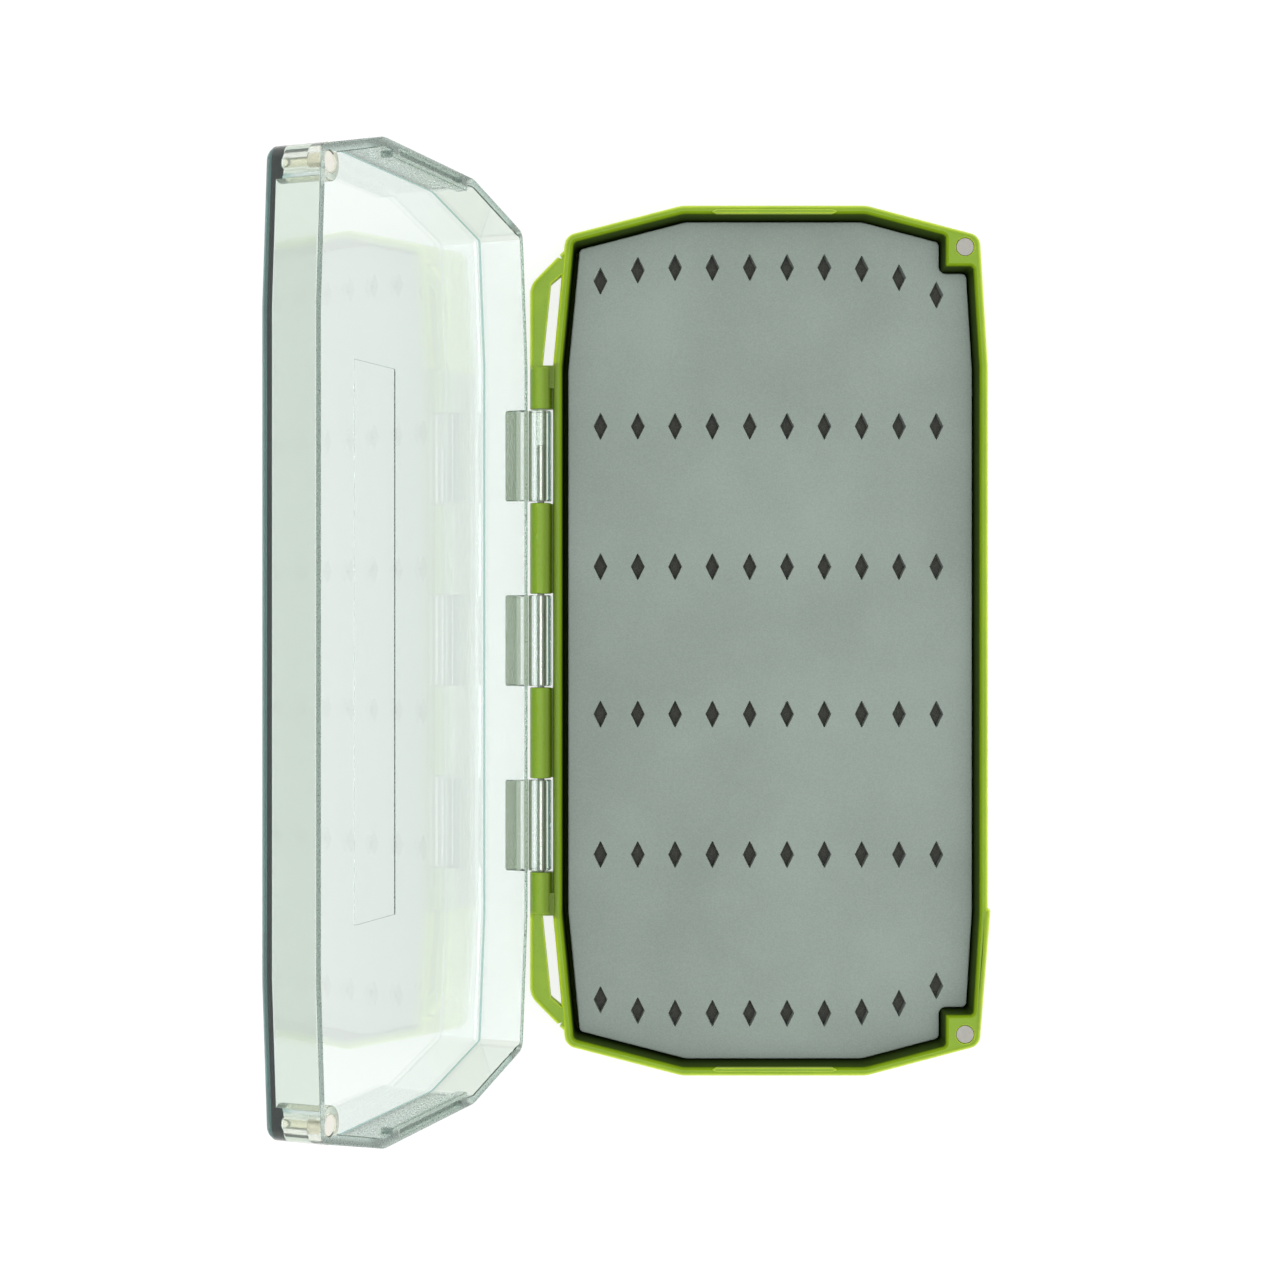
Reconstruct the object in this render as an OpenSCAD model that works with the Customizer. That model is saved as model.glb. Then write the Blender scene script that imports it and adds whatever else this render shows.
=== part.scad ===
// Slim hinged case: a green tray with a silicone pad, and a clear lid on a pin.
// The tray lies flat, centred on the origin, long side along Y, hinge on the -X side.
// The lid is drawn closed and then swung open about its pin.

/* [Case outline] */
// Length of the case along Y
case_len = 196.8; // [170:0.2:230]
// Width of the case along X, without its hinge rail
case_w = 98.4; // [86:0.2:120]
// Length of the straight stretch of each long side
side_flat = 124; // [108:1:136]
// How far the corners next to the hinge stand in from the long side
hinge_corner_in = 2.8; // [1.6:0.1:4]
// How far the corners next to the opening side stand in from the long side
latch_corner_in = 1.8; // [1:0.1:3]
// How far every corner stands in from the end of the case
corner_drop = 6.8; // [5:0.1:9]
// Reach of the end's straight stretch from the centre line towards the hinge
end_flat_hinge = 20.1; // [18:0.1:26]
// Reach of the end's straight stretch from the centre line towards the opening side
end_flat_latch = 21.7; // [18:0.1:26]
// Radius of the four corners
corner_r = 3; // [1:0.1:5]
// Radius of the soft bends in the sides and ends
bend_r = 8; // [4:0.5:12]

/* [Tray] */
// Height of the tray
base_h = 16; // [15:0.1:26]
// Thickness of the tray's walls
base_wall = 2.1; // [1.8:0.1:2.8]
// Thickness of the tray's floor
floor_t = 2; // [1.2:0.1:3]
// Radius under the tray's outer edge
foot_r = 2.2; // [1:0.1:3]
// Radius where the tray's inner walls meet its floor
floor_fillet = 0.8; // [0.3:0.1:1.2]
// Bevel along the outer edge of the tray's rim
rim_bevel = 0.4; // [0.2:0.05:0.6]
// Length of the locating ridge on the rim at each end
ridge_len = 28.4; // [20:0.1:32]
// Width of the locating ridges
ridge_w = 0.9; // [0.7:0.05:1]
// Height of the locating ridges above the rim
ridge_h = 0.8; // [0.5:0.05:1]
// How far the thumb lip stands out of the opening side
thumb_out = 0.6; // [0.3:0.05:1]
// How far the thumb lip's step stands before the bend in the side
thumb_lead = 1.6; // [0:0.1:6]
// How far the thumb lip runs out before the corner
thumb_tail = 3.6; // [3:0.1:12]
// Height of the thumb lip
thumb_h = 5; // [3:0.1:8]

/* [Hinge] */
// Distance of the pin's centre outside the long side
axis_out = 2.75; // [2.5:0.05:3.6]
// Depth of the pin's centre below the tray's rim
axis_drop = 1.8; // [1.5:0.05:2.4]
// Gap between the lid's knuckles and the tray's side
side_gap = 0.3; // [0.2:0.05:0.4]
// Length of each knuckle
knuckle_w = 20.5; // [17:0.1:21]
// Gap between neighbouring knuckles
knuckle_gap = 0.35; // [0.3:0.05:0.6]
// Length of the solid block at each end of the run of knuckles
end_block_len = 9.4; // [8.6:0.1:10]
// Diameter of the hinge pin
pin_d = 1.6; // [1.2:0.05:2.2]
// How far short of the run of knuckles the pin's upper end stops
pin_short = 8.1; // [2:0.1:14]
// Length of the pin that sits in the lower end block
pin_seat = 7.5; // [5:0.1:8]
// Clearance round the pin in the lid's knuckles
pin_run_gap = 0.05; // [0.02:0.01:0.1]
// Clearance round the pin in the tray's knuckles
pin_hold_gap = 0.02; // [0.01:0.01:0.05]
// Height up the lid's side at which its hinge arms end
arm_rise = 5.2; // [4:0.1:7]
// Angle between the lid and the tray
open_angle = 110.5; // [0:0.5:110.5]

/* [Hinge rail] */
// Distance of the rail's shoulders from the corners of the case
shoulder_in = 11.1; // [8:0.1:13]
// Radius of the rail's shoulders
shoulder_r = 5; // [2:0.1:8]
// Distance of the near end of each lanyard slot from the bend in the side
slot_start = 0.2; // [0:0.1:4]
// How far each lanyard slot runs on past the rail's shoulder
slot_run_on = 1.9; // [-4:0.1:2.1]
// Width of the lanyard slots
slot_w = 2.4; // [1.6:0.1:2.6]

/* [Lid] */
// Height of the lid
lid_h = 12; // [10:0.1:18]
// Thickness of the lid's walls
lid_wall = 2; // [1.6:0.1:2.4]
// Thickness of the lid's roof
roof_t = 2.1; // [1.6:0.1:2.6]
// Radius of the roof's outer edge
roof_edge_r = 1.4; // [0.6:0.1:1.8]
// Radius where the lid's inner walls meet its roof
roof_fillet = 0.8; // [0.3:0.1:1.2]
// Gap between the two rims when the case is shut
rim_gap = 0.2; // [0.1:0.05:0.4]
// Clearance of the lid's slots round the locating ridges
ridge_gap = 0.3; // [0.2:0.05:0.4]
// Length of the thick stretch of lid rim that holds each slot
ridge_boss_len = 35; // [34:0.5:38]
// How far that thick stretch stands in from the wall
ridge_boss_in = 1.3; // [1:0.1:2]
// Height of that thick stretch
ridge_boss_h = 2.8; // [2:0.1:4]
// Width of the bare recessed panel on the roof
panel_w = 18; // [8:0.5:40]
// Length of the panel
panel_len = 113; // [60:0.5:140]
// Depth of the panel
panel_depth = 0.3; // [0.2:0.05:0.8]
// Shift of the panel from the centre line towards the opening side
panel_shift = 5.2; // [-10:0.1:10]

/* [Magnets] */
// Distance of the magnets' centres from the opening side
magnet_in = 5.3; // [5:0.1:7]
// Distance of the magnets' centres from the end of the case
magnet_end = 9.5; // [9:0.1:12]
// Diameter of the magnets
magnet_d = 4; // [3:0.1:4.4]
// Thickness of the tray's magnets
base_magnet_h = 3; // [1:0.1:5]
// Thickness of the lid's magnets
lid_magnet_h = 3.2; // [1:0.1:4]
// Clearance round each magnet in its pocket
pocket_gap = 0.12; // [0.05:0.01:0.2]
// Distance of each magnet's face below the rim that it sits in
magnet_sink = 0.1; // [0.05:0.05:0.3]
// Half width of the lands that hold the tray's magnets
land_reach = 4.4; // [3.8:0.1:5.5]
// Outer radius of the lid's magnet posts
post_r = 3.6; // [3.2:0.1:4]
// Width of the shoulder that each magnet in the lid seats on
seat_w = 0.4; // [0.2:0.05:0.6]
// Thickness that closes the hollow of each post at the roof
post_cap = 1; // [0.5:0.1:2]

/* [Silicone pad] */
// Thickness of the foam under the silicone
foam_t = 3.5; // [2:0.1:5]
// Thickness of the silicone
silicone_t = 3; // [1.5:0.1:4]
// Gap round the pad
pad_gap = 0.4; // [0.2:0.1:1]
// Extra gap between the pad and the hinge side
pad_hinge_gap = 0.8; // [0:0.1:2]
// Radius of the pad's step round each magnet land
pad_step_r = 1.6; // [0.5:0.1:3]
// Distance of the outer columns of diamonds from the long sides of the case
column_in = 10.68; // [8:0.01:14]
// Distance from the middle to the first row of diamonds
row_1 = 16.9; // [12:0.1:22]
// Distance from the middle to the second row of diamonds
row_2 = 49.1; // [40:0.1:58]
// Distance of the last row of diamonds from the end of the case
row_3_in = 12.9; // [12:0.1:20]
// How far each column's last diamond is pulled back, from the hinge side to the opening side
row_3_pull = [3.1, 0.6, 0, 0, 0, 0, 0, 0.3, 2.3, 6.3];
// Width of a diamond
diamond_w = 3.1; // [2:0.1:5]
// Length of a diamond
diamond_len = 6.3; // [4:0.1:8]
// Width of the slits that join the diamonds of a column
slit_w = 0.15; // [0.1:0.05:0.4]
// Depth of the slits
slit_depth = 1.2; // [0.5:0.1:2.5]

/* [Hidden] */
$fn = 48;
arc_step = 12;
edge_steps = 4;
min_r = 0.2;
overlap = 0.5;
root_in = 1;
arm_lean = 0.6;
half_len = case_len / 2;
half_w = case_w / 2;
corner_y = half_len - corner_drop;
flat_centre = (end_flat_latch - end_flat_hinge) / 2;
lid_z = base_h + rim_gap;
lid_top = lid_z + lid_h;
hinge_x = -half_w - axis_out;
hinge_z = base_h - axis_drop;
knuckle_r = axis_out - side_gap;
knuckle_step = knuckle_w + knuckle_gap;
lid_knuckles = [-2, 0, 2];
base_knuckles = [-1, 1];
knuckles = len(lid_knuckles) + len(base_knuckles);
run_half = (knuckles * knuckle_w + (knuckles + 1) * knuckle_gap) / 2;
pin_start = -run_half - pin_seat;
pin_end = run_half - pin_short;
pin_r = pin_d / 2;
magnet_x = half_w - magnet_in;
magnet_y = half_len - magnet_end;
pocket_r = magnet_d / 2 + pocket_gap;
post_bore_r = magnet_d / 2 - seat_w;
rail_shoulder = corner_y - shoulder_in;
slot_from = side_flat / 2 + slot_start;
slot_to = rail_shoulder + slot_run_on;
thumb_from = side_flat / 2 - thumb_lead;
thumb_to = corner_y - thumb_tail;
columns = len(row_3_pull);
column_pitch = (case_w - 2 * column_in) / (columns - 1);
row_3 = half_len - row_3_in;

// The twelve corners of the case, counter-clockwise, each with its radius.
case_corners = [
    [[half_w, -side_flat / 2], bend_r],
    [[half_w, side_flat / 2], bend_r],
    [[half_w - latch_corner_in, corner_y], corner_r],
    [[end_flat_latch, half_len], bend_r],
    [[-end_flat_hinge, half_len], bend_r],
    [[-half_w + hinge_corner_in, corner_y], corner_r],
    [[-half_w, side_flat / 2], bend_r],
    [[-half_w, -side_flat / 2], bend_r],
    [[-half_w + hinge_corner_in, -corner_y], corner_r],
    [[-end_flat_hinge, -half_len], bend_r],
    [[end_flat_latch, -half_len], bend_r],
    [[half_w - latch_corner_in, -corner_y], corner_r]
];

// The X of the case's hinge-side edge and of its opening-side edge beyond the straight stretch.
function slant(y, corner_in) = corner_in * max(0, y - side_flat / 2) / (corner_y - side_flat / 2);
function hinge_side_x(y) = -half_w + slant(y, hinge_corner_in);
function latch_side_x(y) = half_w - slant(y, latch_corner_in);

function unit(v) = v / norm(v);

// The arc that rounds corner b between a and c, on an outline drawn in by inset.
function corner_arc(a, b, c, r, inset) =
    let (d1 = unit(b - a), d2 = unit(c - b))
    let (n1 = [d1.y, -d1.x], n2 = [d2.y, -d2.x])
    let (start = atan2(n1.y, n1.x), turn = atan2(cross(n1, n2), n1 * n2))
    let (arc_r = max(r - inset, min_r), steps = max(1, ceil(turn / arc_step)))
    let (centre = b - (n1 + n2) / (1 + n1 * n2) * (inset + arc_r))
    [for (k = [0:steps]) centre + arc_r * [cos(start + turn * k / steps), sin(start + turn * k / steps)]];

// A closed outline through rounded corners, drawn in by inset.
function rounded_outline(corners, inset = 0) =
    let (n = len(corners))
    [for (i = [0:n - 1])
        each corner_arc(corners[(i + n - 1) % n][0], corners[i][0], corners[(i + 1) % n][0],
                        corners[i][1], inset)];

function case_outline(inset = 0) = rounded_outline(case_corners, inset);

// The levels [height, inset] of a quarter-round edge of radius r from a face at height z.
// side is 1 where the block lies above that face and -1 where it lies below.
function rounded_edge(z, r, inset, side) = [
    for (k = [0:edge_steps])
        let (a = 90 * (side > 0 ? k : edge_steps - k) / edge_steps)
        [z + side * r * (1 - cos(a)), inset + r * (1 - sin(a))]
];

// A solid through outlines of the case, one at each level [height, inset], from the lowest up.
module lofted_block(levels) {
    rings = [for (level = levels) case_outline(level[1])];
    n = len(rings[0]);
    last = len(levels) - 1;
    points = [for (i = [0:last]) for (p = rings[i]) [p.x, p.y, levels[i][0]]];
    sides = [for (i = [0:last - 1]) for (k = [0:n - 1])
        let (next = (k + 1) % n)
        [i * n + k, (i + 1) * n + k, (i + 1) * n + next, i * n + next]];
    bottom = [for (k = [0:n - 1]) k];
    top = [for (k = [n - 1:-1:0]) last * n + k];
    polyhedron(points = points, faces = concat([bottom], sides, [top]));
}

// A copy of the children at the upper end and one at the lower end of the case.
module both_ends() {
    children();
    mirror([0, 1, 0]) children();
}

// A round bar along the hinge axis, from one Y to another.
module along_hinge(r, y_from, y_to) {
    translate([hinge_x, y_from, hinge_z])
        rotate([-90, 0, 0])
            cylinder(r = r, h = y_to - y_from);
}

// The children swung open about the pin.
module opened() {
    translate([hinge_x, 0, hinge_z])
        rotate([0, -open_angle, 0])
            translate([-hinge_x, 0, -hinge_z])
                children();
}

// The lanyard slot of the upper end, along the slanted side of the case.
module lanyard_slot() {
    near = hinge_side_x(slot_from);
    far = hinge_side_x(slot_to);
    translate([0, 0, -overlap])
        linear_extrude(base_h + 2 * overlap)
            polygon([
                [near - slot_w, slot_from],
                [near + min_r, slot_from],
                [far + min_r, slot_to],
                [far, slot_to],
                [far - slot_w, slot_to - slot_w]
            ]);
}

// The rail that carries the hinge, open where the lid's knuckles turn.
module hinge_rail() {
    shoulder = hinge_x - knuckle_r;
    root = rail_shoulder + knuckle_r + axis_out + hinge_corner_in + root_in;
    rail_corners = [
        [[hinge_side_x(root) + root_in, -root], min_r],
        [[hinge_side_x(root) + root_in, root], min_r],
        [[shoulder, rail_shoulder], shoulder_r],
        [[shoulder, -rail_shoulder], shoulder_r]
    ];
    rail_bottom = hinge_z - knuckle_r;
    difference() {
        translate([0, 0, rail_bottom])
            linear_extrude(base_h - rail_bottom)
                polygon(rounded_outline(rail_corners));
        translate([shoulder - overlap, -run_half - end_block_len / 2, rail_bottom - overlap])
            cube([half_w, 2 * run_half + end_block_len, base_h]);
        both_ends() lanyard_slot();
    }
    both_ends() hinge_block(run_half, run_half + end_block_len);
    for (k = base_knuckles)
        hinge_block(k * knuckle_step - knuckle_w / 2, k * knuckle_step + knuckle_w / 2);
}

// A round stretch of the rail, joined to the side of the tray.
module hinge_block(y_from, y_to) {
    along_hinge(knuckle_r, y_from, y_to);
    translate([hinge_x, y_from, hinge_z - knuckle_r])
        cube([axis_out + base_wall / 2, y_to - y_from, knuckle_r]);
}

// The lip for a thumbnail on the opening side, near the lower corner.
module thumb_lip() {
    translate([0, 0, base_h - thumb_h])
        linear_extrude(thumb_h - rim_bevel)
            polygon([
                [latch_side_x(thumb_from) - root_in, -thumb_from + thumb_out],
                [latch_side_x(thumb_to) - root_in, -thumb_to],
                [latch_side_x(thumb_to), -thumb_to],
                [latch_side_x(thumb_from) + thumb_out, -thumb_from - thumb_out],
                [latch_side_x(thumb_from), -thumb_from]
            ]);
}

// The square land in the upper opening-side corner, as deep as the tray, grown by gap.
module magnet_land(gap = 0) {
    reach = land_reach + gap;
    translate([magnet_x - reach, magnet_y - reach, 0])
        cube([half_w, half_len, base_h]);
}

// The locating ridge of the upper end, grown by gap on its sides.
module ridge(gap, height) {
    width = ridge_w + 2 * gap;
    length = ridge_len + 2 * gap;
    translate([flat_centre - length / 2, half_len - base_wall - gap, base_h - overlap])
        cube([length, width, height + overlap]);
}

module base_tray() color("#86B52B") {
    outside = concat(rounded_edge(0, foot_r, 0, 1), [[base_h - rim_bevel, 0], [base_h, rim_bevel]]);
    cavity = concat(rounded_edge(floor_t, floor_fillet, base_wall, 1), [[base_h + overlap, base_wall]]);
    land_body = [[floor_t / 2, base_wall / 2], [base_h, base_wall / 2]];
    difference() {
        union() {
            difference() {
                union() {
                    lofted_block(outside);
                    hinge_rail();
                    thumb_lip();
                }
                lofted_block(cavity);
            }
            intersection() {
                lofted_block(land_body);
                both_ends() magnet_land();
            }
            both_ends() ridge(0, ridge_h);
        }
        both_ends()
            translate([magnet_x, magnet_y, base_h - magnet_sink - base_magnet_h])
                cylinder(r = pocket_r, h = base_magnet_h + magnet_sink + overlap);
        along_hinge(pin_r + pin_hold_gap, pin_start, run_half);
    }
}

// One of the lid's hinge arms, drawn shut: a knuckle and the web that ties it to the side.
module lid_arm(middle) {
    side = axis_out + lid_wall / 2;
    web_z = axis_drop + rim_gap;
    along_hinge(knuckle_r, middle - knuckle_w / 2, middle + knuckle_w / 2);
    translate([hinge_x, middle + knuckle_w / 2, hinge_z])
        rotate([90, 0, 0])
            linear_extrude(knuckle_w)
                polygon([
                    [-knuckle_r, 0],
                    [knuckle_r, 0],
                    [knuckle_r, web_z],
                    [side, web_z],
                    [side, web_z + arm_rise],
                    [axis_out, web_z + arm_rise],
                    [0, web_z + arm_rise * arm_lean],
                    [-knuckle_r, web_z]
                ]);
}

// The tube in the lid's upper corner that holds a magnet.
module magnet_post() {
    translate([magnet_x, magnet_y, lid_z])
        cylinder(r = post_r, h = lid_h - roof_t / 2);
}

// The hollow of that tube: a pocket for the magnet and a narrower bore behind it.
module post_hollow() {
    translate([magnet_x, magnet_y, lid_z - overlap])
        cylinder(r = pocket_r, h = overlap + magnet_sink + lid_magnet_h);
    translate([magnet_x, magnet_y, lid_z])
        cylinder(r = post_bore_r, h = lid_h - roof_t - post_cap);
}

// The thick stretch of lid rim at the upper end.
module ridge_boss() {
    translate([flat_centre - ridge_boss_len / 2, half_len - lid_wall - ridge_boss_in, lid_z])
        cube([ridge_boss_len, ridge_boss_in + lid_wall / 2, ridge_boss_h]);
}

module lid_closed() {
    rim = [[lid_z, rim_bevel], [lid_z + rim_bevel, 0]];
    outside = concat(rim, rounded_edge(lid_top, roof_edge_r, 0, -1));
    inner_edge = rounded_edge(lid_top - roof_t, roof_fillet, lid_wall, -1);
    cavity = concat([[lid_z - overlap, lid_wall]], inner_edge);
    difference() {
        union() {
            difference() {
                lofted_block(outside);
                lofted_block(cavity);
            }
            both_ends() magnet_post();
            both_ends() ridge_boss();
            for (k = lid_knuckles)
                lid_arm(k * knuckle_step);
        }
        both_ends() post_hollow();
        both_ends() ridge(ridge_gap, rim_gap + ridge_h + ridge_gap);
        translate([panel_shift - panel_w / 2, -panel_len / 2, lid_top - panel_depth])
            cube([panel_w, panel_len, panel_depth + overlap]);
        along_hinge(pin_r + pin_run_gap, pin_start, pin_end + 2 * knuckle_gap);
    }
}

module lid_shell() color("#C9D8D2", 0.45) opened() lid_closed();

module hinge_pin() color("#8C9093") along_hinge(pin_r, pin_start, pin_end);

// The plan of the pad: the tray's inside less the two magnet lands.
module pad_plan() {
    difference() {
        intersection() {
            polygon(case_outline(base_wall + pad_gap));
            translate([pad_hinge_gap, 0]) polygon(case_outline(base_wall + pad_gap));
        }
        pad_step();
        mirror([0, 1]) pad_step();
    }
}

// The part of the pad's plan that gives way to the upper magnet land.
module pad_step() {
    reach = land_reach + pad_gap;
    corner = [magnet_x - reach, magnet_y - reach];
    translate(corner + [pad_step_r, 0]) square([half_w, half_len]);
    translate(corner + [0, pad_step_r]) square([half_w, half_len]);
    translate(corner + [pad_step_r, pad_step_r]) circle(r = pad_step_r);
}

// One diamond-shaped entry hole at the origin.
module diamond() {
    polygon([[diamond_w / 2, 0], [0, diamond_len / 2], [-diamond_w / 2, 0], [0, -diamond_len / 2]]);
}

module silicone_sheet() color("#98A3A1") {
    translate([0, 0, floor_t + foam_t])
        difference() {
            linear_extrude(silicone_t) pad_plan();
            for (i = [0:columns - 1]) {
                x = (i - (columns - 1) / 2) * column_pitch;
                last = row_3 - row_3_pull[i];
                for (y = [-last, -row_2, -row_1, row_1, row_2, last])
                    translate([x, y, -overlap])
                        linear_extrude(silicone_t + 2 * overlap) diamond();
                translate([x - slit_w / 2, -last, silicone_t - slit_depth])
                    cube([slit_w, 2 * last, slit_depth + overlap]);
            }
        }
}

module foam_backing() color("#1B1D20") {
    translate([0, 0, floor_t])
        linear_extrude(foam_t)
            offset(delta = -floor_fillet / 2) pad_plan();
}

// A disc magnet of the tray at the given end: 1 for the upper end, -1 for the lower.
module base_magnet(end) {
    translate([magnet_x, end * magnet_y, base_h - magnet_sink - base_magnet_h])
        cylinder(d = magnet_d, h = base_magnet_h);
}

// A disc magnet of the lid at the given end.
module lid_magnet(end) {
    opened()
        translate([magnet_x, end * magnet_y, lid_z + magnet_sink])
            cylinder(d = magnet_d, h = lid_magnet_h);
}

module base_magnet_upper() color("#C8C8C6") base_magnet(1);
module base_magnet_lower() color("#C8C8C6") base_magnet(-1);
module lid_magnet_upper() color("#C8C8C6") lid_magnet(1);
module lid_magnet_lower() color("#C8C8C6") lid_magnet(-1);

base_tray();
lid_shell();
hinge_pin();
silicone_sheet();
foam_backing();
base_magnet_upper();
base_magnet_lower();
lid_magnet_upper();
lid_magnet_lower();
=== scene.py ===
"""Looks of a slim hinged case for fishing hooks: a green tray with a slotted silicone pad, and a clear lid.

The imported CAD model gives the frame. Every piece is drawn in millimetres in that frame, made in mesh code,
given the finish of its real material, and put on the body that it moves with.
"""

import logging
import math
from contextlib import contextmanager
from dataclasses import dataclass
from enum import Enum, IntEnum
from typing import Any, Iterator, Mapping, Optional, Sequence, Union

import bmesh
import bpy
from mathutils import Matrix, Vector


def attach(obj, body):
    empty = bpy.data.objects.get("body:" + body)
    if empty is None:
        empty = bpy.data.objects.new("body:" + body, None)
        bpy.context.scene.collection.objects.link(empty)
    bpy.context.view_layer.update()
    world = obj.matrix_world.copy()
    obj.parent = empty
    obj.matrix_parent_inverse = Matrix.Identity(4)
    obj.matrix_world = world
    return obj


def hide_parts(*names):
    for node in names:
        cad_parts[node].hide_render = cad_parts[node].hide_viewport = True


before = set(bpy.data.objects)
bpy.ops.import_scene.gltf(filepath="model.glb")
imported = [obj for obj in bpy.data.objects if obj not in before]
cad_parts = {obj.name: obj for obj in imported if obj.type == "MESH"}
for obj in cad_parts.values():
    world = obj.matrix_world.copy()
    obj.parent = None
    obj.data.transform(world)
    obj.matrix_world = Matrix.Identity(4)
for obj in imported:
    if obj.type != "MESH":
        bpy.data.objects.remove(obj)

LOG = logging.getLogger("case")
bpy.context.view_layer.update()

# One millimetre in metres; the longest step of an arc and the least radius of a corner; how far tools and
# roots reach past the faces that they cut or join; the step that keeps two faces out of one plane; the
# facets of a rounding; the distance at which corners are one; the angle from which an edge is sharp; and how
# much more a large face sways the shading.
MM = 0.001
ARC_STEP = math.radians(4)
LEAST_R = 0.05
REACH = 1.0
SHY = 0.01
EDGE_STEPS = 5
FEW_STEPS = 3
WELD = 2e-6
SHARP_ANGLE = math.radians(33)
FLAT_WEIGHT = 80
TEXTURE_INDEX = "texture_index"
POLYCARBONATE_IOR = 1.585
NOISE_SPAN = {"From Min": 0.3, "From Max": 0.7}
WHITE = (1.0, 1.0, 1.0, 1.0)

Point = tuple[float, float]
Place = tuple[float, float, float]
Level = tuple[float, float]
Span = tuple[float, float]
Rgba = tuple[float, float, float, float]
Feed = Union[bpy.types.Node, bpy.types.NodeSocket]


class Body(Enum):
    """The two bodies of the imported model."""

    TRAY = "tray"
    LID = "lid"


class Joining(Enum):
    """How a solid takes up another one."""

    ADD = "UNION"
    CUT = "DIFFERENCE"


class TraySkin(IntEnum):
    """The finishes of the tray, by the index that its faces carry."""

    OUTER = 0
    INNER = 1


class Skin(IntEnum):
    """The mould textures of the lid, by the index that its faces carry."""

    POLISHED = 0
    MATT = 1
    ARMS = 2
    SATIN = 3
    EDGES = 4
    POST = 5
    # The rounded roof edge, whose tint carries painted slate shade.
    ROOF_EDGE_PAINTED_SLATE = 6


class Facing(Enum):
    """Which way faces look: the least and the most X, Y and Z of their normals."""

    ANY_WAY = ((-1, -1, -1), (1, 1, 1))
    DOWN = ((-1, -1, -1), (1, 1, -0.5))
    SIDEWAYS = ((-1, -1, -0.4), (1, 1, 0.4))
    OFF_HINGE = ((-0.9, -1, -0.4), (1, 1, 0.4))
    ENDWAYS = ((-0.1, -1, -0.4), (0.1, 1, 0.4))
    ROUND_ROOF = ((-1, -1, 0.05), (1, 1, 0.98))
    UP_OUTWARDS = ((-1, -0.4, 0.2), (0.1, 0.4, 1))


# ---------------------------------------------------------------------------------------------------------
# Outlines and solids
# ---------------------------------------------------------------------------------------------------------


@dataclass(frozen=True)
class Corner:
    """A corner of an outline and the radius that rounds it, in millimetres."""

    x: float
    y: float
    r: float = 0.0


@dataclass(frozen=True)
class Outline:
    """A closed outline through rounded corners, counter-clockwise."""

    corners: tuple[Corner, ...]

    @classmethod
    def box(cls, low: Point, high: Point, r: float = 0.0, far_r: Optional[float] = None) -> "Outline":
        """Draw a rectangle.

        Args:
            low: its corner of least x and y.
            high: the opposite corner.
            r: radius of its corners.
            far_r: radius of the two corners of most y, if that is another.

        Returns:
            The outline.
        """
        (x0, y0), (x1, y1) = low, high
        far = r if far_r is None else far_r
        return cls((Corner(x0, y0, r), Corner(x1, y0, r), Corner(x1, y1, far), Corner(x0, y1, far)))

    @classmethod
    def symmetric(cls, half: Sequence[Corner]) -> "Outline":
        """Close the upper half of an outline with its mirror image at the lower end."""
        return cls((*half, *(Corner(c.x, -c.y, c.r) for c in reversed(half))))

    def points(self, inset: float = 0.0) -> list[Point]:
        """Draw the outline moved inwards.

        Args:
            inset: how far every side moves inwards; a negative inset moves it outwards.

        Returns:
            The points of the outline, as many for every inset.
        """
        found: list[Point] = []
        for corner, n1, n2 in self._turns():
            found += self._rounded(corner, n1, n2, inset)
        return found

    def mitred(self, inset: float) -> list[Point]:
        """Give the corners themselves after the sides have moved inwards.

        Args:
            inset: how far the sides move.

        Returns:
            One point for each corner.
        """
        found: list[Point] = []
        for corner, n1, n2 in self._turns():
            moved = Vector((corner.x, corner.y)) - (n1 + n2) / (1 + n1.dot(n2)) * inset
            found.append((moved.x, moved.y))
        return found

    def _turns(self) -> list[tuple[Corner, Vector, Vector]]:
        """List the corners with the outward normals of the sides before and after each.

        Returns:
            A corner and two normals for each corner.
        """
        places = [Vector((corner.x, corner.y)) for corner in self.corners]
        normals: list[Vector] = []
        for place, after in zip(places, places[1:] + places[:1]):
            way = (after - place).normalized()
            normals.append(Vector((way.y, -way.x)))
        return list(zip(self.corners, normals[-1:] + normals[:-1], normals))

    @staticmethod
    def _rounded(corner: Corner, n1: Vector, n2: Vector, inset: float) -> list[Point]:
        """Draw the arc that rounds one corner.

        Args:
            corner: the corner.
            n1: outward normal of the side before it.
            n2: outward normal of the side after it.
            inset: how far the sides are moved inwards.

        Returns:
            The points of the arc.
        """
        turn = math.atan2(n1.x * n2.y - n1.y * n2.x, n1.dot(n2))
        start = math.atan2(n1.y, n1.x)
        mitre = (n1 + n2) / (1 + n1.dot(n2))
        side = 1.0 if turn > 0 else -1.0
        radius = max(corner.r - side * inset, LEAST_R)
        centre = Vector((corner.x, corner.y)) - mitre * inset - mitre * radius * side
        steps = max(1, math.ceil(abs(turn) / ARC_STEP))
        arc: list[Point] = []
        for k in range(steps + 1):
            angle = start + turn * k / steps
            arc.append((
                centre.x + side * radius * math.cos(angle),
                centre.y + side * radius * math.sin(angle),
            ))
        return arc


def at_x(p: Point, q: Point, x: float) -> Point:
    """Find the point at a given x on the line through p and q."""
    return (x, p[1] + (q[1] - p[1]) * (x - p[0]) / (q[0] - p[0]))


def at_y(p: Point, q: Point, y: float) -> Point:
    """Find the point at a given y on the line through p and q."""
    return (p[0] + (q[0] - p[0]) * (y - p[1]) / (q[1] - p[1]), y)


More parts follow.
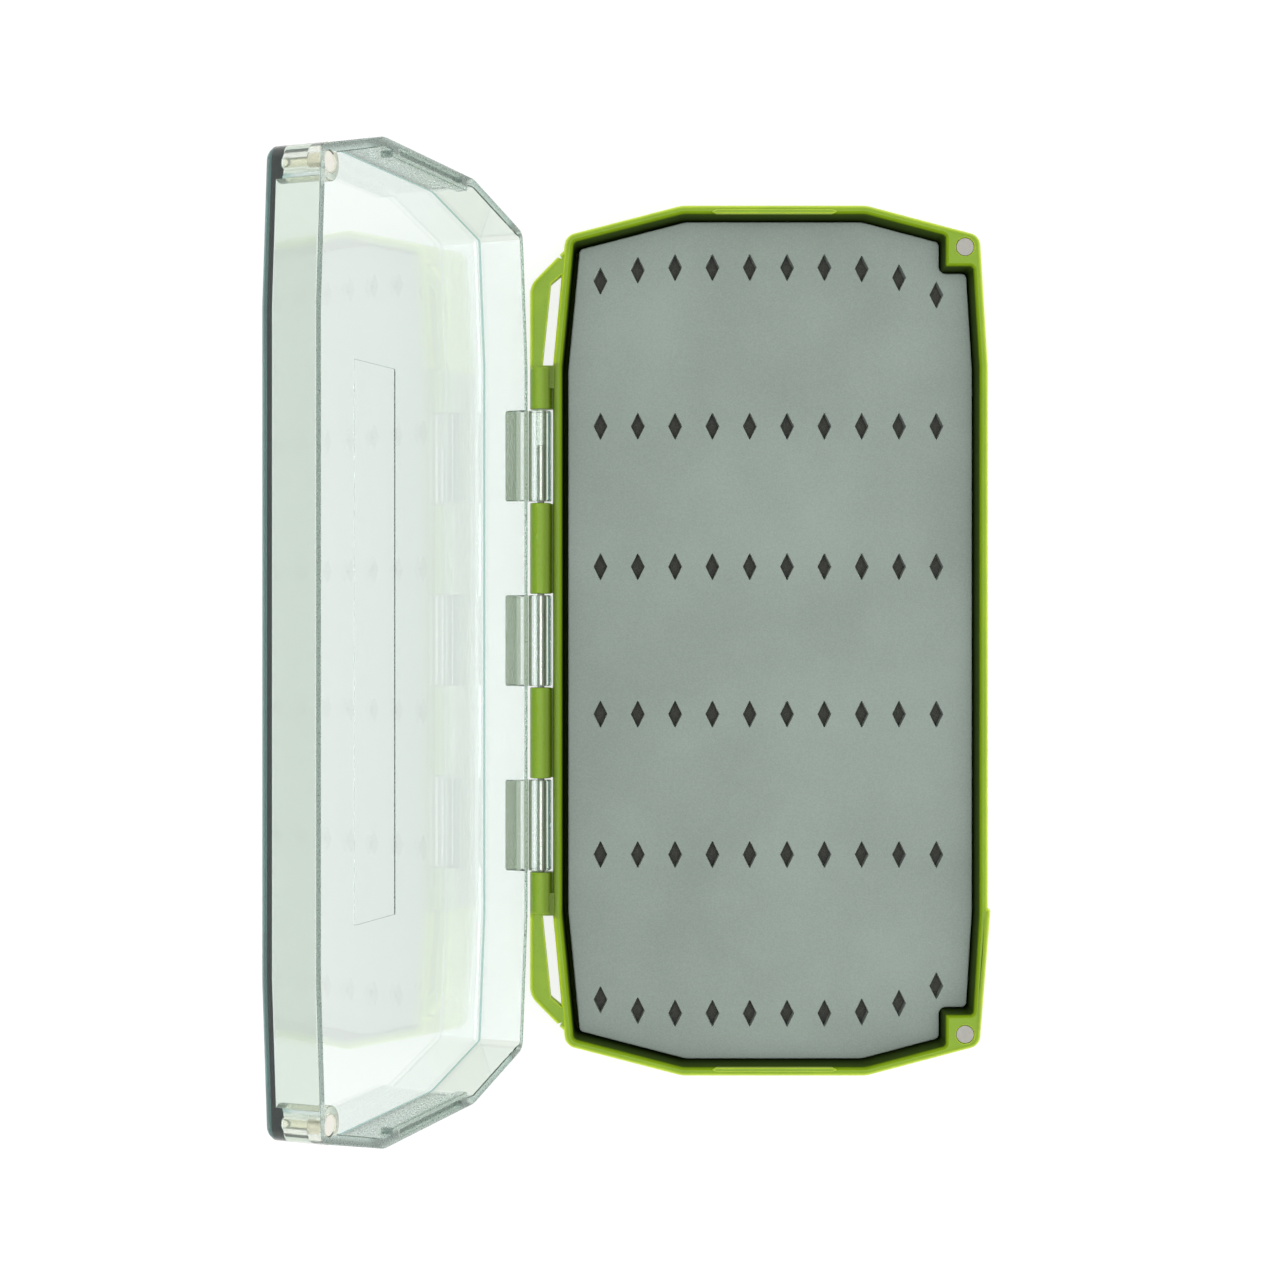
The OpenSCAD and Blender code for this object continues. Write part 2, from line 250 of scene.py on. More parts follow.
def rounded_edge(z: float, r: float, inset: float, side: int, steps: int = EDGE_STEPS) -> list[Level]:
    """List the levels of a quarter-round edge.

    Args:
        z: height of the face that the edge belongs to.
        r: radius of the edge; a negative one flares outwards, as at the mouth of a hole.
        inset: inset of the wall.
        side: 1 where the solid lies above that face, -1 where it lies below.
        steps: number of facets.

    Returns:
        The levels from the lowest up.
    """
    levels: list[Level] = []
    for k in range(steps + 1):
        turned = k if side > 0 else steps - k
        angle = math.pi / 2 * turned / steps
        levels.append((z + side * abs(r) * (1 - math.cos(angle)), inset + r * (1 - math.sin(angle))))
    return levels


@contextmanager
def edited(mesh: bpy.types.Mesh) -> Iterator[bmesh.types.BMesh]:
    """Open a mesh for edits, and write them back at the end.

    Args:
        mesh: the mesh.

    Yields:
        The mesh in its open form.
    """
    work = bmesh.new()
    work.from_mesh(mesh)
    yield work
    work.to_mesh(mesh)
    work.free()
    mesh.update()


class Solid:
    """A closed mesh in millimetres that takes up and loses other solids until it is a finished piece."""

    def __init__(
        self, points: Sequence[Sequence[float]], faces: Sequence[Sequence[int]], skin: int = 0
    ) -> None:
        """Make the mesh.

        Args:
            points: its corners, in millimetres.
            faces: its faces, as indices of corners.
            skin: index of the finish that its faces carry.
        """
        mesh = bpy.data.meshes.new("solid")
        mesh.from_pydata([tuple(p) for p in points], [], [tuple(f) for f in faces])
        mesh.update()
        for index in Skin:
            mesh.materials.append(Finish.blank(index))
        for polygon in mesh.polygons:
            polygon.material_index = skin
        self.obj = bpy.data.objects.new("solid", mesh)
        bpy.context.scene.collection.objects.link(self.obj)

    @classmethod
    def through(cls, rings: Sequence[Sequence[Place]], skin: int = 0) -> "Solid":
        """Make a solid through rings that all have as many points.

        Args:
            rings: the rings, counter-clockwise, from the lowest up.
            skin: index of its finish.

        Returns:
            The solid.
        """
        n = len(rings[0])
        last = len(rings) - 1
        faces: list[list[int]] = [list(range(n - 1, -1, -1))]
        for i in range(last):
            for k in range(n):
                after = (k + 1) % n
                faces.append([i * n + k, i * n + after, (i + 1) * n + after, (i + 1) * n + k])
        faces.append([last * n + k for k in range(n)])
        return cls([point for ring in rings for point in ring], faces, skin)

    @classmethod
    def lofted(cls, outline: Outline, levels: Sequence[Level], skin: int = 0) -> "Solid":
        """Make a solid through one outline at several heights and insets, from the lowest up."""
        return cls.through([[(x, y, z) for x, y in outline.points(inset)] for z, inset in levels], skin)

    @classmethod
    def turned(cls, profile: Sequence[Point], sides: int = 64, skin: int = 0) -> "Solid":
        """Make a turned solid about the Z axis.

        Args:
            profile: radius and height of each step, from the lowest up.
            sides: number of facets round it.
            skin: index of its finish.

        Returns:
            The solid.
        """
        angles = [2 * math.pi * k / sides for k in range(sides)]
        rings = [[(r * math.cos(a), r * math.sin(a), z) for a in angles] for r, z in profile]
        return cls.through(rings, skin)

    def moved(self, matrix: Matrix) -> "Solid":
        """Move the solid by a matrix and keep its faces outwards.

        Args:
            matrix: the move, in millimetres.

        Returns:
            This solid.
        """
        self.obj.data.transform(matrix)
        if matrix.determinant() < 0:
            self.obj.data.flip_normals()
        self.obj.data.update()
        return self

    def reskin(self, skin: Skin, facing: Facing, above: float = -math.inf) -> "Solid":
        """Give another finish to the faces that look a certain way.

        Args:
            skin: the finish.
            facing: which way they look.
            above: least height of the faces' middles.

        Returns:
            This solid.
        """
        low, high = facing.value
        for polygon in self.obj.data.polygons:
            turned = all(a <= v <= b for a, v, b in zip(low, polygon.normal, high))
            if turned and polygon.center.z >= above:
                polygon.material_index = skin
        return self

    def copy(self) -> "Solid":
        """Make a second solid of the same shape.

        Returns:
            The second solid.
        """
        twin = Solid([], [])
        twin.obj.data = self.obj.data.copy()
        return twin

    def mirrored(self) -> "Solid":
        """Make its mirror image at the other end of the case."""
        return self.copy().moved(Matrix.Diagonal((1, -1, 1, 1)))

    def beside(self, *others: "Solid") -> "Solid":
        """Take separate solids into the same mesh, for use as one tool.

        Args:
            others: the separate solids, which are used up.

        Returns:
            This solid.
        """
        with edited(self.obj.data) as work:
            for other in others:
                work.from_mesh(other.obj.data)
                other.drop()
        return self

    def scored(self, xs: Sequence[float], ys: Sequence[float]) -> "Solid":
        """Divide the faces along straight lines, so that none has more than a few holes to go round.

        Args:
            xs: X of the lines that run along the case.
            ys: Y of the lines that run across it.

        Returns:
            This solid.
        """
        lines = [(Vector((1, 0, 0)), x) for x in xs] + [(Vector((0, 1, 0)), y) for y in ys]
        with edited(self.obj.data) as work:
            for normal, place in lines:
                every = work.verts[:] + work.edges[:] + work.faces[:]
                bmesh.ops.bisect_plane(work, geom=every, dist=1e-6, plane_co=normal * place, plane_no=normal)
        return self

    def join(self, other: "Solid", how: Joining) -> "Solid":
        """Add or cut away what another solid covers, which is used up.

        Args:
            other: the other solid.
            how: what is done with it.

        Returns:
            This solid.
        """
        modifier = self.obj.modifiers.new("join", "BOOLEAN")
        modifier.operation = how.value
        modifier.solver = "EXACT"
        modifier.object = other.obj
        bpy.context.view_layer.update()
        graph = bpy.context.evaluated_depsgraph_get()
        made = bpy.data.meshes.new_from_object(self.obj.evaluated_get(graph), depsgraph=graph)
        if not made.polygons:
            raise RuntimeError("a boolean came back empty")
        self.obj.modifiers.clear()
        self.obj.data = made
        other.drop()
        return self

    def add(self, *others: "Solid") -> "Solid":
        """Add solids to this one.

        Args:
            others: the solids, which are used up.

        Returns:
            This solid.
        """
        for other in others:
            self.join(other, Joining.ADD)
        return self

    def cut(self, *others: "Solid") -> "Solid":
        """Cut solids out of this one.

        Args:
            others: the solids, which are used up.

        Returns:
            This solid.
        """
        for other in others:
            self.join(other, Joining.CUT)
        return self

    def textures(self) -> "Solid":
        """Keep the faces' indices as an attribute that one material reads, and give all faces that one.

        Returns:
            This solid.
        """
        mesh = self.obj.data
        kept = mesh.attributes.new(TEXTURE_INDEX, "FLOAT", "FACE")
        for polygon in mesh.polygons:
            kept.data[polygon.index].value = polygon.material_index
            polygon.material_index = 0
        return self

    def drop(self) -> None:
        """Remove the solid from the scene."""
        bpy.data.objects.remove(self.obj)

    def piece(
        self, name: str, body: Body, finishes: Sequence["Finish"], slot: str, nodes: Sequence[str]
    ) -> bpy.types.Object:
        """Turn the solid into a finished piece of the case, in metres.

        Args:
            name: name of the piece.
            body: the body that it moves with.
            finishes: its finishes, in the order of its faces' indices.
            slot: the record's material slot; not used.
            nodes: the CAD nodes that it stands for.

        Returns:
            The finished piece.
        """
        obj = self.obj
        obj.name = name
        obj.data.name = name
        obj.data.transform(Matrix.Scale(MM, 4))
        self._clean(obj.data)
        for index, finish in enumerate(finishes):
            obj.data.materials[index] = finish.material()
        while len(obj.data.materials) > len(finishes):
            obj.data.materials.pop(index=len(obj.data.materials) - 1)
        normals = obj.modifiers.new("face_weighted_normals", "WEIGHTED_NORMAL")
        normals.keep_sharp = True
        normals.weight = FLAT_WEIGHT
        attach(obj, body.value)
        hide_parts(*nodes)
        LOG.info("%s: %d faces, on %s", name, len(obj.data.polygons), body.value)
        return obj

    @staticmethod
    def _clean(mesh: bpy.types.Mesh) -> None:
        """Weld doubled corners, and mark the sharp edges of a mesh in metres.

        Args:
            mesh: the mesh.
        """
        with edited(mesh) as work:
            bmesh.ops.remove_doubles(work, verts=work.verts, dist=WELD)
            bmesh.ops.dissolve_degenerate(work, edges=work.edges, dist=WELD)
            for face in work.faces:
                face.smooth = True
            for edge in work.edges:
                edge.smooth = len(edge.link_faces) == 2 and edge.calc_face_angle(0.0) < SHARP_ANGLE


def barrel(radius: float, length: float, edge: float, sides: int = 72) -> Solid:
    """Make a round bar that stands on the origin, with rounded ends.

    Args:
        radius: its radius.
        length: its length.
        edge: radius of the rounding at both ends.
        sides: number of facets round it.

    Returns:
        The bar.
    """
    lower = [(radius - inset, z) for z, inset in rounded_edge(0, edge, 0, 1)]
    upper = [(radius - inset, z) for z, inset in rounded_edge(length, edge, 0, -1)]
    return Solid.turned(lower + upper, sides)


# ---------------------------------------------------------------------------------------------------------
# Finishes
# ---------------------------------------------------------------------------------------------------------


def linear(colour: str) -> Rgba:
    """Turn an sRGB hex colour to a linear one.

    Args:
        colour: the colour, such as #8DB52A.

    Returns:
        Its red, green and blue, and an alpha of 1.
    """
    values = [int(colour[i:i + 2], 16) / 255 for i in (1, 3, 5)]
    r, g, b = (v / 12.92 if v <= 0.04045 else ((v + 0.055) / 1.055) ** 2.4 for v in values)
    return (r, g, b, 1.0)


def add_node(
    tree: bpy.types.NodeTree, kind: str, settings: Optional[Mapping[str, Any]] = None
) -> bpy.types.Node:
    """Add a node with its settings and links.

    Args:
        tree: the node tree.
        kind: type of the node, without the words that every type starts with.
        settings: its properties and inputs by name, or an input by "#" and its index. What feeds an input
            is an output, or a node for its first output; anything else is a value.

    Returns:
        The node.
    """
    node = tree.nodes.new("ShaderNode" + kind)
    for name, value in (settings or {}).items():
        if name.startswith("#"):
            entry = node.inputs[int(name[1:])]
        elif name in node.inputs:
            entry = node.inputs[name]
        else:
            setattr(node, name, value)
            continue
        if isinstance(value, bpy.types.Node):
            tree.links.new(value.outputs[0], entry)
        elif isinstance(value, bpy.types.NodeSocket):
            tree.links.new(value, entry)
        else:
            entry.default_value = value
    return node


def patches(size_mm: float) -> float:
    """Give the scale at which a texture's patches measure about size_mm."""
    return 1 / (size_mm * MM)


@dataclass(frozen=True)
class Grain:
    """The fine grain of a surface, which sets its gloss and its relief."""

    size_mm: float
    detail: float
    fineness: float
    gloss: Span
    depth_mm: float
    strength: float

    def lay(
        self, tree: bpy.types.NodeTree, place: Feed
    ) -> tuple[bpy.types.Node, bpy.types.Node, bpy.types.Node]:
        """Draw the grain.

        Args:
            tree: the node tree.
            place: the point in the piece's own space, in metres.

        Returns:
            The grain, and the roughness and the normal that it gives.
        """
        scale = patches(self.size_mm)
        pattern = {"Scale": scale, "Detail": self.detail, "Roughness": self.fineness, "Vector": place}
        grain = add_node(tree, "TexNoise", pattern)
        low, high = self.gloss
        gloss = add_node(tree, "MapRange", {**NOISE_SPAN, "To Min": low, "To Max": high, "Value": grain})
        relief = {"Distance": self.depth_mm * MM, "Strength": self.strength, "Height": grain}
        return grain, gloss, add_node(tree, "Bump", relief)


@dataclass(frozen=True)
class Finish:
    """What every finish has: a name, and a material that is made once."""

    name: str

    @staticmethod
    def blank(index: int) -> bpy.types.Material:
        """Give a plain stand-in material that only keeps a face's index through the booleans."""
        name = f"index_{index}"
        return bpy.data.materials.get(name) or bpy.data.materials.new(name)

    def material(self) -> bpy.types.Material:
        """Give the material of this finish, made on first use.

        Returns:
            The material.
        """
        made = bpy.data.materials.get(self.name)
        if made is None:
            made = bpy.data.materials.new(self.name)
            made.use_nodes = True
            made.node_tree.nodes.clear()
            self.draw(made.node_tree)
        return made

    def draw(self, tree: bpy.types.NodeTree) -> None:
        """Fill the material's node tree."""
        raise NotImplementedError

    @staticmethod
    def close(tree: bpy.types.NodeTree, settings: Mapping[str, Any]) -> None:
        """End an opaque material in its surface, with these settings and links."""
        shader = add_node(tree, "BsdfPrincipled", settings)
        add_node(tree, "OutputMaterial", {"Surface": shader})


@dataclass(frozen=True)
class TintedPolycarbonate(Finish):
    """Polycarbonate tinted in the mass and moulded to a satin gloss, as the tray is.

    Its colour carries a painted glow: a deeper green on the flats that face up, and a painted yellower,
    lighter one where a surface turns away to the side, less of it on walls that stand upright. Spark-eroded
    moulds leave a grain of about 0.05 mm; it is drawn at 0.25 mm so that it shows.
    """

    # flat is the green of faces that look up; edge is the colour of the painted glow where faces turn to the
    # side.
    flat: str = "#769612"
    edge: str = "#CCE216"
    grain: Grain = Grain(0.25, 3.0, 0.6, (0.26, 0.35), 0.01, 0.25)
    cloud_mm: float = 9.0
    cloud: float = 0.06
    wall_share: float = 0.5
    glow: float = 0.12
    glow_mm: float = 1.5
    # Painted shade in the groove between the knuckles and the case, laid by place; the rail's end and side
    # bound it.
    groove_x: float = -49.5
    groove_half: Span = (0.1, 2.6)
    groove_shade: float = 0.42
    rail_end: Span = (61.0, 63.0)
    rail_side: Span = (-48.4, -47.4)

    def draw(self, tree: bpy.types.NodeTree) -> None:
        """Fill the node tree.

        Args:
            tree: the node tree.
        """
        place = add_node(tree, "TexCoord").outputs["Object"]
        normal = add_node(tree, "NewGeometry").outputs["Normal"]
        upright = add_node(tree, "SeparateXYZ", {"Vector": normal}).outputs["Z"]
        # Painted glow: the share of the lighter edge colour grows as a face turns from upright.
        turned = add_node(tree, "MapRange", {
            "From Min": 0.5, "From Max": 0.99, "To Min": 1.0, "To Max": 0.0, "Value": upright
        })
        cloud = add_node(tree, "TexNoise", {"Scale": patches(self.cloud_mm), "Vector": place})
        faint = add_node(tree, "MapRange", {
            **NOISE_SPAN, "To Min": -self.cloud, "To Max": self.cloud, "Value": cloud
        })
        painted_glow_clouded = add_node(tree, "Math", {"operation": "ADD", "use_clamp": True, "#0": turned, "#1": faint})
        # Painted glow: the lighter edge colour is laid by the normal, and less of it on a wall that stands
        # upright.
        painted_wall_dimming = add_node(tree, "MapRange", {
            "From Min": 0.1, "From Max": 0.45, "To Min": self.wall_share, "Value": upright
        })
        bright = add_node(tree, "Math", {"operation": "MULTIPLY", "#0": painted_glow_clouded, "#1": painted_wall_dimming})
        # Painted shade in the groove, and the painted glow taken off the knuckles.
        near, past = self.groove(tree, place)
        share = add_node(tree, "Math", {"operation": "MULTIPLY", "#0": bright, "#1": past})
        shade = add_node(tree, "Math", {"operation": "MAXIMUM", "#0": near, "#1": past})
        green = add_node(tree, "Mix", {
            "data_type": "RGBA", "#0": share, "#6": linear(self.flat), "#7": linear(self.edge)
        })
        colour = add_node(tree, "Mix", {
            "data_type": "RGBA", "blend_type": "MULTIPLY", "#0": 1.0, "#6": green.outputs[2], "#7": shade
        })
        _, gloss, relief = self.grain.lay(tree, place)
        self.close(tree, {
            "IOR": POLYCARBONATE_IOR,
            "Subsurface Weight": self.glow,
            "Subsurface Radius": (1.0, 1.0, 0.25),
            "Subsurface Scale": self.glow_mm * MM,
            "Base Color": colour.outputs[2],
            "Roughness": gloss,
            "Normal": relief,
        })

    def groove(
        self, tree: bpy.types.NodeTree, place: bpy.types.NodeSocket
    ) -> tuple[bpy.types.Node, bpy.types.Node]:
        """Paint shade into the groove between the knuckles and the case, laid by place.

        Args:
            tree: the node tree.
            place: the point in the piece's own space, in metres.

        Returns:
            The painted shade near the groove, and a mask that is 0 at the knuckles and 1 past them.
        """
        across = add_node(tree, "SeparateXYZ", {"Vector": place}).outputs
        beside = {"operation": "SUBTRACT", "#0": across["X"], "#1": self.groove_x * MM}
        off = add_node(tree, "Math", {"operation": "ABSOLUTE", "#0": add_node(tree, "Math", beside)})
        along = add_node(tree, "Math", {"operation": "ABSOLUTE", "#0": across["Y"]})
        found: list[bpy.types.Node] = []
        for value, (start, end), low in (
            (off, self.groove_half, self.groove_shade),
            (along, self.rail_end, 0.0),
            (across["X"], self.rail_side, 0.0),
        ):
            found.append(add_node(tree, "MapRange", {
                "From Min": start * MM, "From Max": end * MM, "To Min": low, "Value": value
            }))
        near, beyond, aside = found
        return near, add_node(tree, "Math", {"operation": "MAXIMUM", "#0": beyond, "#1": aside})


@dataclass(frozen=True)
class InnerPolycarbonate(Finish):
    """The same tinted polycarbonate on the tray's inner walls.

    Its colour carries painted shade: the walls fall from green to near black towards the pad, darker with
    depth below the rim.
    """

    rim: str = "#6E8A10"
    upper: str = "#3C5208"
    lower: str = "#223008"
    from_z: float = 9.0
    to_z: float = 15.3
    rim_z: float = 16.0
    grain: Grain = Grain(0.25, 3.0, 0.6, (0.62, 0.74), 0.01, 0.2)

    def draw(self, tree: bpy.types.NodeTree) -> None:
        """Fill the node tree.

        Args:
            tree: the node tree.
        """
        place = add_node(tree, "TexCoord").outputs["Object"]
        height = add_node(tree, "SeparateXYZ", {"Vector": place}).outputs["Z"]
        colour: Union[Rgba, bpy.types.NodeSocket] = linear(self.lower)
        # Painted shade: the colour darkens with depth below the rim.
        for low, high, above in (
            (self.from_z, self.to_z, self.upper),
            (self.to_z, self.rim_z, self.rim),
        ):
            stretch = {"From Min": low * MM, "From Max": high * MM, "Value": height}
            share = add_node(tree, "MapRange", stretch)
            mixed = {"data_type": "RGBA", "#0": share, "#6": colour, "#7": linear(above)}
            colour = add_node(tree, "Mix", mixed).outputs[2]
        _, gloss, relief = self.grain.lay(tree, place)
        self.close(tree, {
            "IOR": POLYCARBONATE_IOR,
            "Specular IOR Level": 0.05,
            "Base Color": colour,
            "Roughness": gloss,
            "Normal": relief,
        })


@dataclass(frozen=True)
class Texture:
    """How one part of a mould is finished, and what that does to the clear plastic."""

    tint: str
    clear: float
    roughness: float
    relief: float


LID_TEXTURES: Mapping[Skin, Texture] = {
    Skin.POLISHED: Texture("#F6FAF7", 0.985, 0.02, 0.0),
    Skin.MATT: Texture("#D9E3DC", 0.86, 0.28, 0.15),
    Skin.ARMS: Texture("#98A58A", 0.6, 0.55, 0.5),
    Skin.SATIN: Texture("#E1E6DA", 0.98, 0.055, 0.1),
    Skin.EDGES: Texture("#D2DED2", 0.85, 0.3, 0.12),
    Skin.POST: Texture("#FFF8E6", 0.88, 0.2, 0.4),
    # The rounded roof edge's teal tint is painted slate shade; its roughness and relief are the mould's.
    Skin.ROOF_EDGE_PAINTED_SLATE: Texture("#8CB9B4", 0.8, 0.1, 0.1),
}


@dataclass(frozen=True)
class ClearPolycarbonate(Finish):
    """Clear polycarbonate with a pale smoke tint, moulded in a polished mould, as the lid is.

    A short way through it hardly colours the light, and a long way, as along an edge, turns it slate. The
    light must come in and go out through the same material for that, so one material draws all textures.
    A polished mould still leaves a slow waviness of some centimetres in the walls. Sprayed and eroded mould
    faces leave a grain of about 0.1 mm; it is drawn at 0.5 mm so that it shows.
    """

    keeps: str = "#3CB8B4"
    density: float = 18.0
    shadow: str = "#E6ECE8"
    wave_mm: float = 14.0
    wave_deep: float = 0.02
    wave_strength: float = 0.1
    grain_mm: float = 0.5
    grain_deep: float = 0.05

    def textured(self, tree: bpy.types.NodeTree) -> list[bpy.types.NodeSocket]:
        """Look up the texture of a face.

        Args:
            tree: the node tree.

        Returns:
            The tint, and the clearness, roughness and relief as red, green and blue.
        """
        textures = [LID_TEXTURES[skin] for skin in Skin]
        index = add_node(tree, "Attribute", {"attribute_name": TEXTURE_INDEX}).outputs["Fac"]
        step = 1 / len(textures)
        share = add_node(tree, "Math", {
            "operation": "MULTIPLY_ADD", "#0": index, "#1": step, "#2": step / 2
        })
        found: list[bpy.types.NodeSocket] = []
        for colours in (
            [linear(t.tint) for t in textures],
            [(t.clear, t.roughness, t.relief, 1.0) for t in textures],
        ):
            ramp = add_node(tree, "ValToRGB", {"#0": share})
            ramp.color_ramp.interpolation = "CONSTANT"
            stops = ramp.color_ramp.elements
            while len(stops) < len(colours):
                stops.new(1.0)
            for k, colour in enumerate(colours):
                stops[k].position = k / len(colours)
                stops[k].color = colour
            found.append(ramp.outputs[0])
        return found

    def draw(self, tree: bpy.types.NodeTree) -> None:
        """Fill the node tree.

        Args:
            tree: the node tree.
        """
        place = add_node(tree, "TexCoord").outputs["Object"]
        tint, values = self.textured(tree)
        clear, roughness, relief = add_node(tree, "SeparateColor", {"Color": values}).outputs
        wave = add_node(tree, "TexNoise", {"Scale": patches(self.wave_mm), "Detail": 1.0, "Vector": place})
        grain = add_node(tree, "TexNoise", {
            "Scale": patches(self.grain_mm), "Detail": 2.0, "Roughness": 0.6, "Vector": place
        })
        uneven = add_node(tree, "MapRange", {**NOISE_SPAN, "To Min": 0.8, "To Max": 1.2, "Value": grain})
        waved = add_node(tree, "Bump", {
            "Distance": self.wave_deep * MM, "Strength": self.wave_strength, "Height": wave
        })
        grained = add_node(tree, "Bump", {
            "Distance": self.grain_deep * MM, "Strength": relief, "Height": grain, "Normal": waved
        })
        glass = add_node(tree, "BsdfPrincipled", {
            "IOR": POLYCARBONATE_IOR,
            "Base Color": tint,
            "Transmission Weight": clear,
            "Roughness": add_node(tree, "Math", {"operation": "MULTIPLY", "#0": roughness, "#1": uneven}),
            "Normal": grained,
        })
        # Shadow and diffuse rays pass unbent, which keeps the light behind the lid free of noise.
        unbent = add_node(tree, "BsdfTransparent", {"Color": linear(self.shadow)})
        path = add_node(tree, "LightPath").outputs
        passing = add_node(tree, "Math", {
            "operation": "MAXIMUM", "#0": path["Is Shadow Ray"], "#1": path["Is Diffuse Ray"]
        })
        mixed = add_node(tree, "MixShader", {"#0": passing, "#1": glass, "#2": unbent})
        volume = add_node(tree, "VolumeAbsorption", {"Color": linear(self.keeps), "Density": self.density})
        add_node(tree, "OutputMaterial", {"Surface": mixed, "Volume": volume})


@dataclass(frozen=True)
class MouldedSilicone(Finish):
    """Grey silicone rubber, compression moulded to a satin skin.

    It is soft and a little dusty, so the eye sees a broad dull sheen and faint clouds.
    """

    pale: str = "#87938B"
    deep: str = "#77827A"
    cloud_mm: float = 28.0
    cloud: float = 0.7
    dust: Grain = Grain(0.35, 3.0, 0.65, (0.46, 0.62), 0.02, 0.25)
    paling: Span = (0.6, 1.1)
    ior: float = 1.41
    sheen: float = 0.08

    def draw(self, tree: bpy.types.NodeTree) -> None:
        """Fill the node tree.

        Args:
            tree: the node tree.
        """
        place = add_node(tree, "TexCoord").outputs["Object"]
        dust, gloss, relief = self.dust.lay(tree, place)
        cloud = add_node(tree, "TexNoise", {"Scale": patches(self.cloud_mm), "Detail": 3.0, "Vector": place})
        both = add_node(tree, "Math", {
            "operation": "MULTIPLY_ADD", "#0": cloud, "#1": self.cloud, "#2": dust
        })
        start, end = self.paling
        share = add_node(tree, "MapRange", {"From Min": start, "From Max": end, "Value": both})
        colour = add_node(tree, "Mix", {
            "data_type": "RGBA", "#0": share, "#6": linear(self.deep), "#7": linear(self.pale)
        })
        self.close(tree, {
            "IOR": self.ior,
            "Sheen Weight": self.sheen,
            "Sheen Roughness": 0.5,
            "Base Color": colour.outputs[2],
            "Roughness": gloss,
            "Normal": relief,
        })


@dataclass(frozen=True)
class ClosedCellFoam(Finish):
    """Black EVA foam with closed cells about 0.3 mm wide.

    The cut cells swallow the light, so the eye sees a dead black with a faint grain.
    """

    deep: str = "#2B2C29"
    pale: str = "#454641"
    cell_mm: float = 0.3
    paling: Span = (0.1, 0.6)
    pit_mm: float = 0.08
    pit_strength: float = 0.6
    ior: float = 1.49

    def draw(self, tree: bpy.types.NodeTree) -> None:
        """Fill the node tree.

        Args:
            tree: the node tree.
        """
        place = add_node(tree, "TexCoord").outputs["Object"]
        cells = add_node(tree, "TexVoronoi", {"Scale": patches(self.cell_mm), "Vector": place})
        start, end = self.paling
        share = add_node(tree, "MapRange", {"From Min": start, "From Max": end, "Value": cells})
        colour = add_node(tree, "Mix", {
            "data_type": "RGBA", "#0": share, "#6": linear(self.deep), "#7": linear(self.pale)
        })
        relief = add_node(tree, "Bump", {
            "Distance": self.pit_mm * MM, "Strength": self.pit_strength, "Height": cells
        })
        self.close(tree, {
            "IOR": self.ior, "Roughness": 0.9, "Base Color": colour.outputs[2], "Normal": relief
        })


@dataclass(frozen=True)
class DrawnSteel(Finish):
    """Stainless steel wire, drawn through a die and cut to length.

    Drawing leaves fine lines along the wire, so the eye sees a grey metal with long streaks.
    """

    deep: str = "#9B9C98"
    pale: str = "#BEBFBA"
    lines: Grain = Grain(0.12, 3.0, 0.6, (0.25, 0.4), 0.01, 0.3)

    def draw(self, tree: bpy.types.NodeTree) -> None:
        """Fill the node tree.

        Args:
            tree: the node tree.
        """
        place = add_node(tree, "TexCoord").outputs["Object"]
        stretched = add_node(tree, "Mapping", {"Scale": (1.0, 0.03, 1.0), "Vector": place})
        lines, gloss, relief = self.lines.lay(tree, stretched)
        colour = add_node(tree, "Mix", {
            "data_type": "RGBA", "#0": lines, "#6": linear(self.deep), "#7": linear(self.pale)
        })
        self.close(tree, {
            "Metallic": 1.0, "Base Color": colour.outputs[2], "Roughness": gloss, "Normal": relief
        })


@dataclass(frozen=True)
class NickelPlate(Finish):
    """Nickel-plated neodymium, tumbled before plating.

    The plating is warm and bright but softened by tumbling, with small nicks, so the eye sees a satin
    silver with faint mottling.
    """

    deep: str = "#F0EEE4"
    pale: str = "#FFFDF6"
    mottle_mm: float = 0.7
    nick_mm: float = 0.5
    nick_deep: float = 0.02
    nick_strength: float = 0.35
    gloss: Span = (0.42, 0.6)

    def draw(self, tree: bpy.types.NodeTree) -> None:
        """Fill the node tree.

        Args:
            tree: the node tree.
        """
        place = add_node(tree, "TexCoord").outputs["Object"]
        mottle = add_node(tree, "TexNoise", {
            "Scale": patches(self.mottle_mm), "Detail": 4.0, "Roughness": 0.65, "Vector": place
        })
        nicks = add_node(tree, "TexVoronoi", {"Scale": patches(self.nick_mm), "Vector": place})
        colour = add_node(tree, "Mix", {
            "data_type": "RGBA", "#0": mottle, "#6": linear(self.deep), "#7": linear(self.pale)
        })
        least, most = self.gloss
        gloss = add_node(tree, "MapRange", {
            **NOISE_SPAN, "To Min": least, "To Max": most, "Value": mottle
        })
        relief = add_node(tree, "Bump", {
            "Distance": self.nick_deep * MM, "Strength": self.nick_strength, "Height": nicks
        })
        self.close(tree, {
            "Metallic": 1.0, "Base Color": colour.outputs[2], "Roughness": gloss, "Normal": relief
        })


# ---------------------------------------------------------------------------------------------------------
# The case
# ---------------------------------------------------------------------------------------------------------


